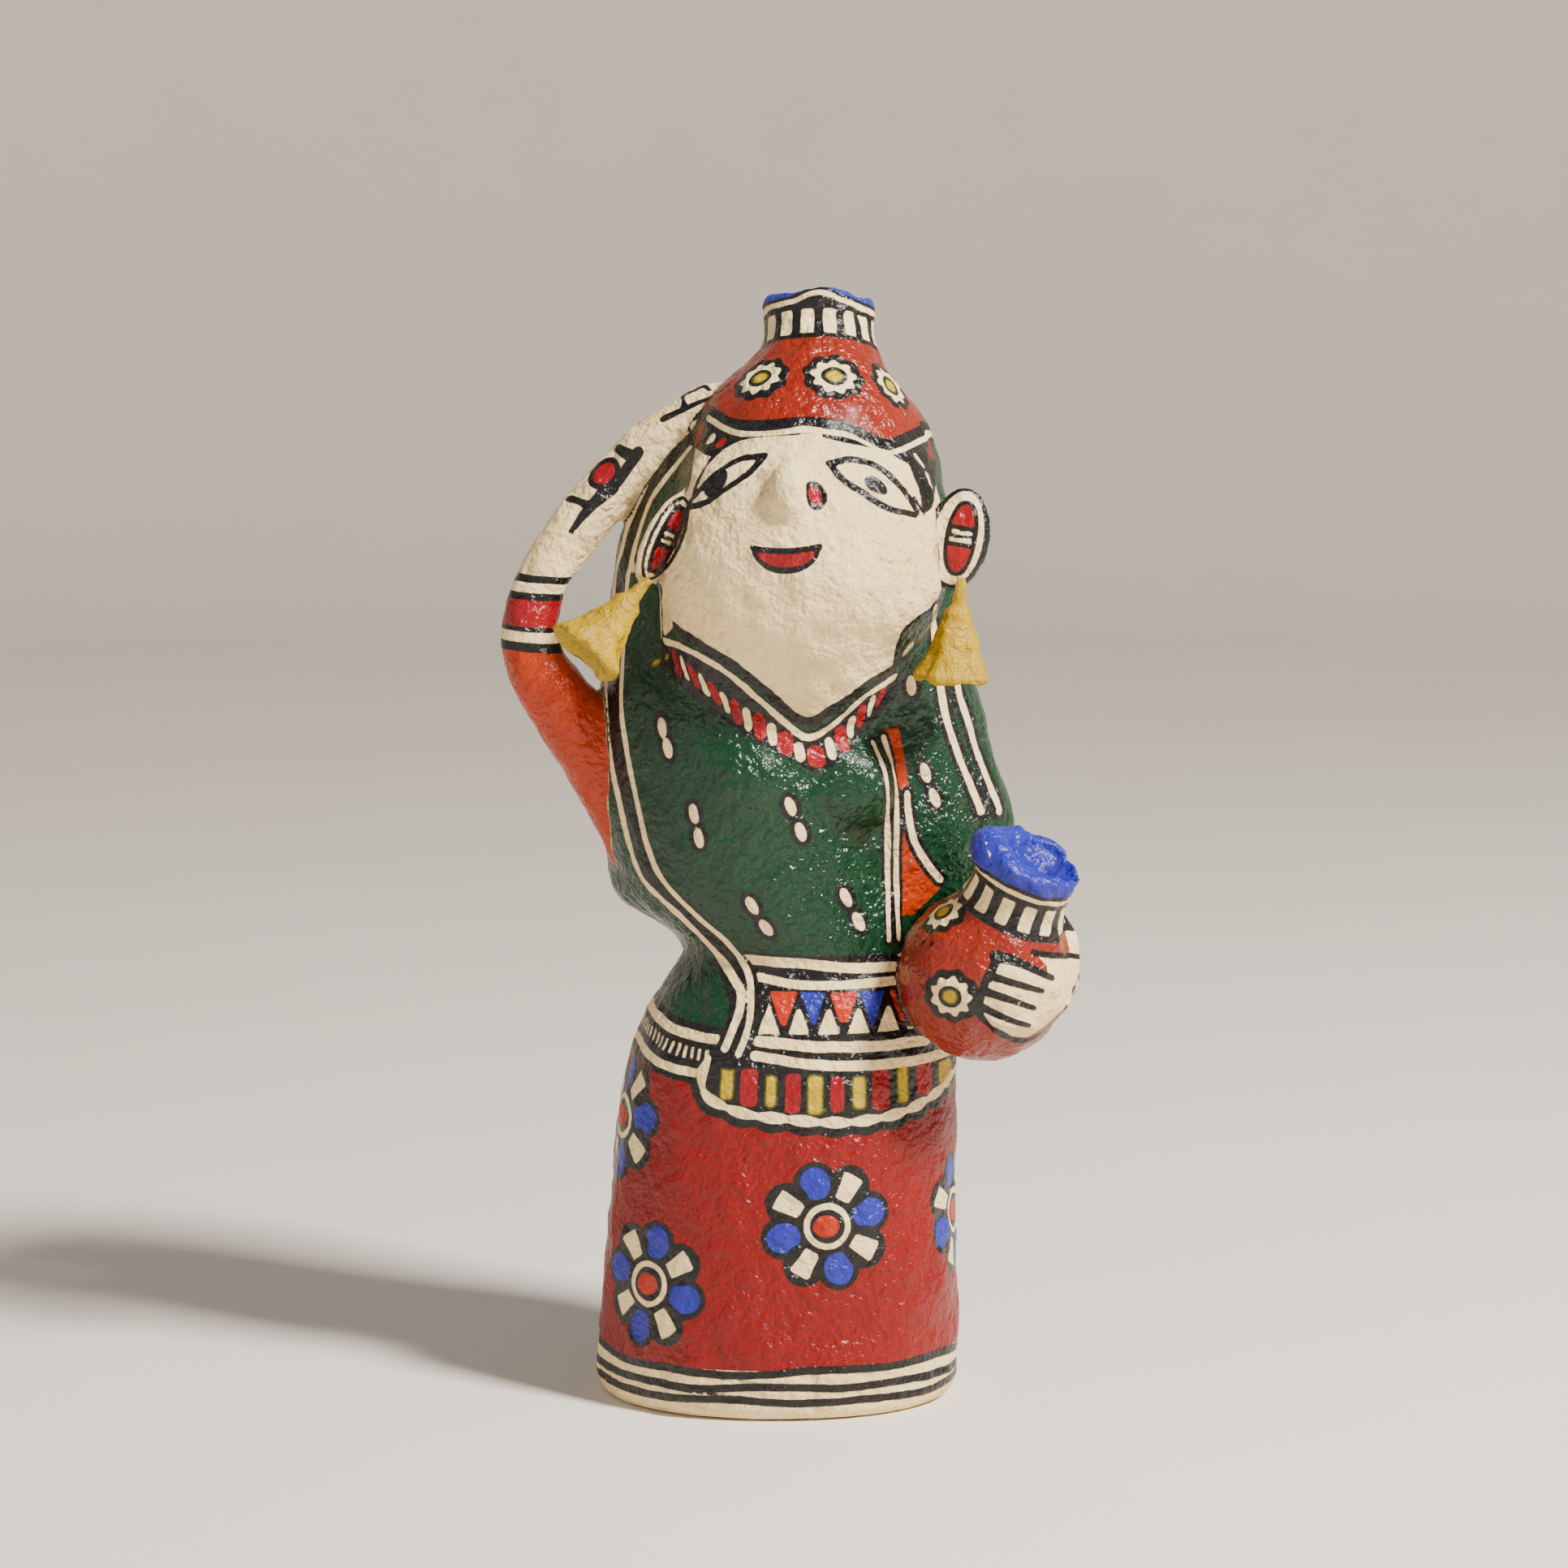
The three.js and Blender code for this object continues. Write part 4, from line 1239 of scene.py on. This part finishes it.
def pigment(red, green, blue):
    """A colour from 0 to 255 as it looks on a screen, turned into the linear light that shaders use."""
    parts = [value / 255 for value in (red, green, blue)]
    return (*[c / 12.92 if c < 0.04045 else ((c + 0.055) / 1.055) ** 2.4 for c in parts], 1.0)


print("shader maths ready")

# %% [markdown]
# ## Poster paint, varnish and raw paper
# On the real thing the colours are poster paint over white paper, with a coat of varnish that makes the
# green and the red deep and shiny. The cream parts keep the look of paper: dull and a little yellow. The
# wrinkles and hollows are darkened as painted shade. Each colour is laid over the one before where its
# distance is negative, and a fine noise added to the distance gives the edge the waver of a brush. Thin
# places in each colour come from a second noise.

# %% Paint of the figure
PIGMENTS = {
    "green": (8, 50, 29), "red": (124, 1, 2), "orange": (170, 46, 0), "brick": (128, 30, 14),
    "ink": (15, 13, 14), "crimson": (140, 2, 18), "blue": (34, 38, 152), "yellow": (180, 150, 0),
    "tangerine": (172, 33, 0), "cream": (240, 214, 160),
}
SHINE = {"green": 0.22, "red": 0.36, "orange": 0.3, "brick": 0.26, "ink": 0.32, "crimson": 0.34, "blue": 0.38,
         "yellow": 0.45, "tangerine": 0.4, "cream": 0.58}

sheet = Sheet(painted)
green, red, orange = sheet.stored("paint_a")
brick, ink, crimson = sheet.stored("paint_b")
blue, yellow, tangerine = sheet.stored("paint_c")
cream, depth, paper = sheet.stored("paint_d")
edges = dict(green=green, red=red, orange=orange, brick=brick, ink=ink, crimson=crimson, blue=blue, yellow=yellow,
             tangerine=tangerine, cream=cream)
waver = sheet.noise(3.2, 2.0, 1.0) * 0.75 + sheet.noise(0.9, 2.0, 2.0) * 0.25
patches = sheet.noise(16, 3.0, 3.0)
streaks = sheet.noise(2.4, 4.0, 4.0, 0.65)
grain = sheet.noise(0.7, 4.0, 5.0, 0.6)
creases = depth.between(0.05, 0.55)

crumple = sheet.folded(5.5, 2.0, 8.0)
crinkle = sheet.folded(1.9, 2.0, 9.0)
raw = sheet.mix((patches * 1.4 + streaks * 0.9 + 0.35).between(0, 1), pigment(242, 217, 166), pigment(216, 184, 130))
# Painted shade: the bare paper is darkened towards brown in the creases, deeper creases more.
colour = sheet.mix(creases * 0.5, raw, pigment(140, 108, 72))
roughness = 0.74 + streaks * 0.12
film = None
varnish = None
for name in COLOURS:
    under = (edges[name] + waver * 0.55).between(0.13, -0.13)
    tone = 1 + streaks * 0.42 + patches * 0.3
    if name == "cream":
        tone = 1 + streaks * 0.16 + patches * 0.1
    layer_colour = sheet.scaled(pigment(*PIGMENTS[name])[:3], tone)
    if name == "yellow":
        olive = (edges[name] + waver * 0.4).between(-0.2, -0.75)
        layer_colour = sheet.mix(olive, pigment(62, 66, 0), layer_colour)
    colour = sheet.mix(under, colour, layer_colour)
    roughness = roughness + under * (SHINE[name] + streaks * 0.1 - roughness)
    film = under if film is None else film + under * (1 - film * 0.35)
    gloss = 0.1 if name in ("green", "ink", "brick") else 0.0
    varnish = under * gloss if varnish is None else varnish + under * (gloss - varnish)
# Painted shade: every colour is darkened towards dark brown in the hollows, deeper hollows more.
painted_hollow_shade = depth.between(0.25, 0.9)
colour = sheet.mix(painted_hollow_shade * 0.35, colour, pigment(46, 30, 20))
height = film * 0.06 + grain * 0.08 + streaks * 0.2 + crumple * 2.7 + crinkle * 1.0
sheet.finish(colour, roughness, height, Coat_Weight=varnish, Coat_Roughness=0.3, Specular_IOR_Level=0.36)
print("nodes in the paint:", len(sheet.tree.nodes))

# %% [markdown]
# ## The bells
# Each bell is a twist of thin yellow paper, pinched at the neck and open at the skirt. The solid has
# the turned form. Folds that run down it, deeper towards the hem, and a crumple over the whole make it
# paper.

# %% Bells of twisted paper
bell_paper = bpy.data.materials.new("bell paper")
bells = {}
for name, seed in (("ear_bell_hip_pot_side", 3.0), ("ear_bell_raised_arm_side", 8.0)):
    bell = remeshed(merged_copy(name, "yellow_" + name), 0.36)
    points, normals = points_of(bell), normals_of(bell)
    middle = (points.min(0) + points.max(0)) / 2
    around = np.arctan2(points[:, 0] - middle[0], points[:, 1] - middle[1])
    folds = np.sin(5 * around + seed) + 0.6 * np.sin(9 * around + 2 * seed)
    put_points(bell, points + normals * (0.28 * folds * ramp(points[:, 2], middle[2] + 9, middle[2] - 8))[:, None])
    melt(bell, 2, 0.4)
    even = np.ones(len(points))
    roughen(bell, bell_paper, (even, even), Lump_Size=0.0065, Lump_Height=0.0024, Wrinkle_Size=0.0026,
            Wrinkle_Height=0.0012, Seed=seed)
    bell.data.polygons.foreach_set("use_smooth", np.ones(len(bell.data.polygons), bool))
    # How deep each point sits between the folds, kept for the painted shade of the finish.
    store(bell, "painted_shade_depth", hollows(bell, 12), even * 0, even * 0)
    bells[name] = bell
    print(name, triangles(bell), "triangles")

# %% Finish of the bells
sheet = Sheet(bell_paper)
depth, _, _ = sheet.stored("painted_shade_depth")
patches = sheet.noise(7, 3.0, 6.0)
fibres = sheet.noise(0.8, 4.0, 7.0, 0.6)
colour = sheet.mix((patches * 1.5 + 0.5).between(0, 1), pigment(182, 150, 0), pigment(146, 112, 0))
# Painted shade: the yellow is darkened towards brown in the hollows between the folds.
colour = sheet.mix(depth.between(0.0, 0.4) * 0.7, colour, pigment(84, 58, 0))
colour = sheet.scaled(colour, 1 + fibres * 0.3)
relief = fibres * 0.12 + sheet.folded(2.6, 2.0, 4.0) * 1.7 + sheet.folded(0.9, 1.0, 5.0) * 0.35
sheet.finish(colour, 0.46 + patches * 0.15, relief, Specular_IOR_Level=0.34)
print("nodes in the bells:", len(sheet.tree.nodes))

# %% [markdown]
# ## Floor and light
# A plain pale floor that rises into a round backdrop far out, so that no horizon crosses the view from
# any side. One key light from the upper right models the face and throws the shadow to the left, as a
# lamp on a small table would, and a wide weak fill and the grey world keep the shadow open. The key is
# a good deal bigger than the figure, so the varnish shows soft highlights.

# %% Floor
def bowl(radius, rise, rings=14, sides=96):
    """A round floor whose rim curves up into a wall."""
    profile = [(0.0, 0.0), (radius - rise, 0.0)]
    for k in range(1, rings + 1):
        a = math.pi / 2 * k / rings
        profile.append((radius - rise + rise * math.sin(a), rise - rise * math.cos(a)))
    profile.append((radius, rise + 900))
    points, faces = [(0, 0, -0.2)], []
    for r, z in profile[1:]:
        points += [(r * math.cos(2 * math.pi * k / sides), r * math.sin(2 * math.pi * k / sides), z - 0.2)
                   for k in range(sides)]
    faces += [(0, 1 + k, 1 + (k + 1) % sides) for k in range(sides)]
    for ring in range(len(profile) - 2):
        a, b = 1 + ring * sides, 1 + (ring + 1) * sides
        faces += [(a + k, b + k, b + (k + 1) % sides, a + (k + 1) % sides) for k in range(sides)]
    mesh = bpy.data.meshes.new("floor")
    mesh.from_pydata((np.array(points) * MM).tolist(), [], faces)
    mesh.polygons.foreach_set("use_smooth", np.ones(len(mesh.polygons), bool))
    return bpy.data.objects.new("floor", mesh)


floor = bowl(2200, 650)
bpy.context.scene.collection.objects.link(floor)
sheet = Sheet(bpy.data.materials.new("pale floor"))
floor.data.materials.append(
    sheet.finish(sheet.mix(sheet.noise(60, 3.0, 1.0) + 0.5, pigment(233, 227, 218), pigment(229, 222, 212)),
                 0.9 + sheet.noise(90) * 0.05, sheet.noise(1.5) * 0.02))
print("floor faces:", len(floor.data.polygons))

# %% Lights


def soft_light(name, place, size, power, tint=(1, 1, 1)):
    """A square area light at place (in millimetres) that points at the figure's middle."""
    lamp = bpy.data.lights.new(name, "AREA")
    lamp.size, lamp.energy, lamp.color = size * MM, power, tint
    lamp_object = bpy.data.objects.new(name, lamp)
    lamp_object.location = Vector(place) * MM
    lamp_object.rotation_euler = (Vector((0, 0, 130)) * MM - lamp_object.location).to_track_quat("-Z", "Y").to_euler()
    bpy.context.scene.collection.objects.link(lamp_object)


soft_light("key", (800, -600, 1150), 230, 57, (1.0, 0.95, 0.87))
soft_light("fill", (-900, -900, 620), 900, 2.2, (0.96, 0.98, 1.0))
world = bpy.data.worlds.new("studio")
bpy.context.scene.world = world
world.use_nodes = True
world.node_tree.nodes["Background"].inputs["Color"].default_value = (0.9, 0.92, 0.95, 1)
world.node_tree.nodes["Background"].inputs["Strength"].default_value = 0.22

# %% [markdown]
# ## Handing over
# Each piece rides on the one body and stands for its solid, whose frame copy is hidden; its finish is the
# material set on it with its relief. The two boxes are kept, so that the dressed figure can be held against the solid
# one.

# %% Ride, replace and finish
for piece, node, slot in ((figure, "figure", "painted_pulp"),
                          (bells["ear_bell_hip_pot_side"], "ear_bell_hip_pot_side", "bell_paper"),
                          (bells["ear_bell_raised_arm_side"], "ear_bell_raised_arm_side", "bell_paper")):
    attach(piece, "root")
    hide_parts(node)
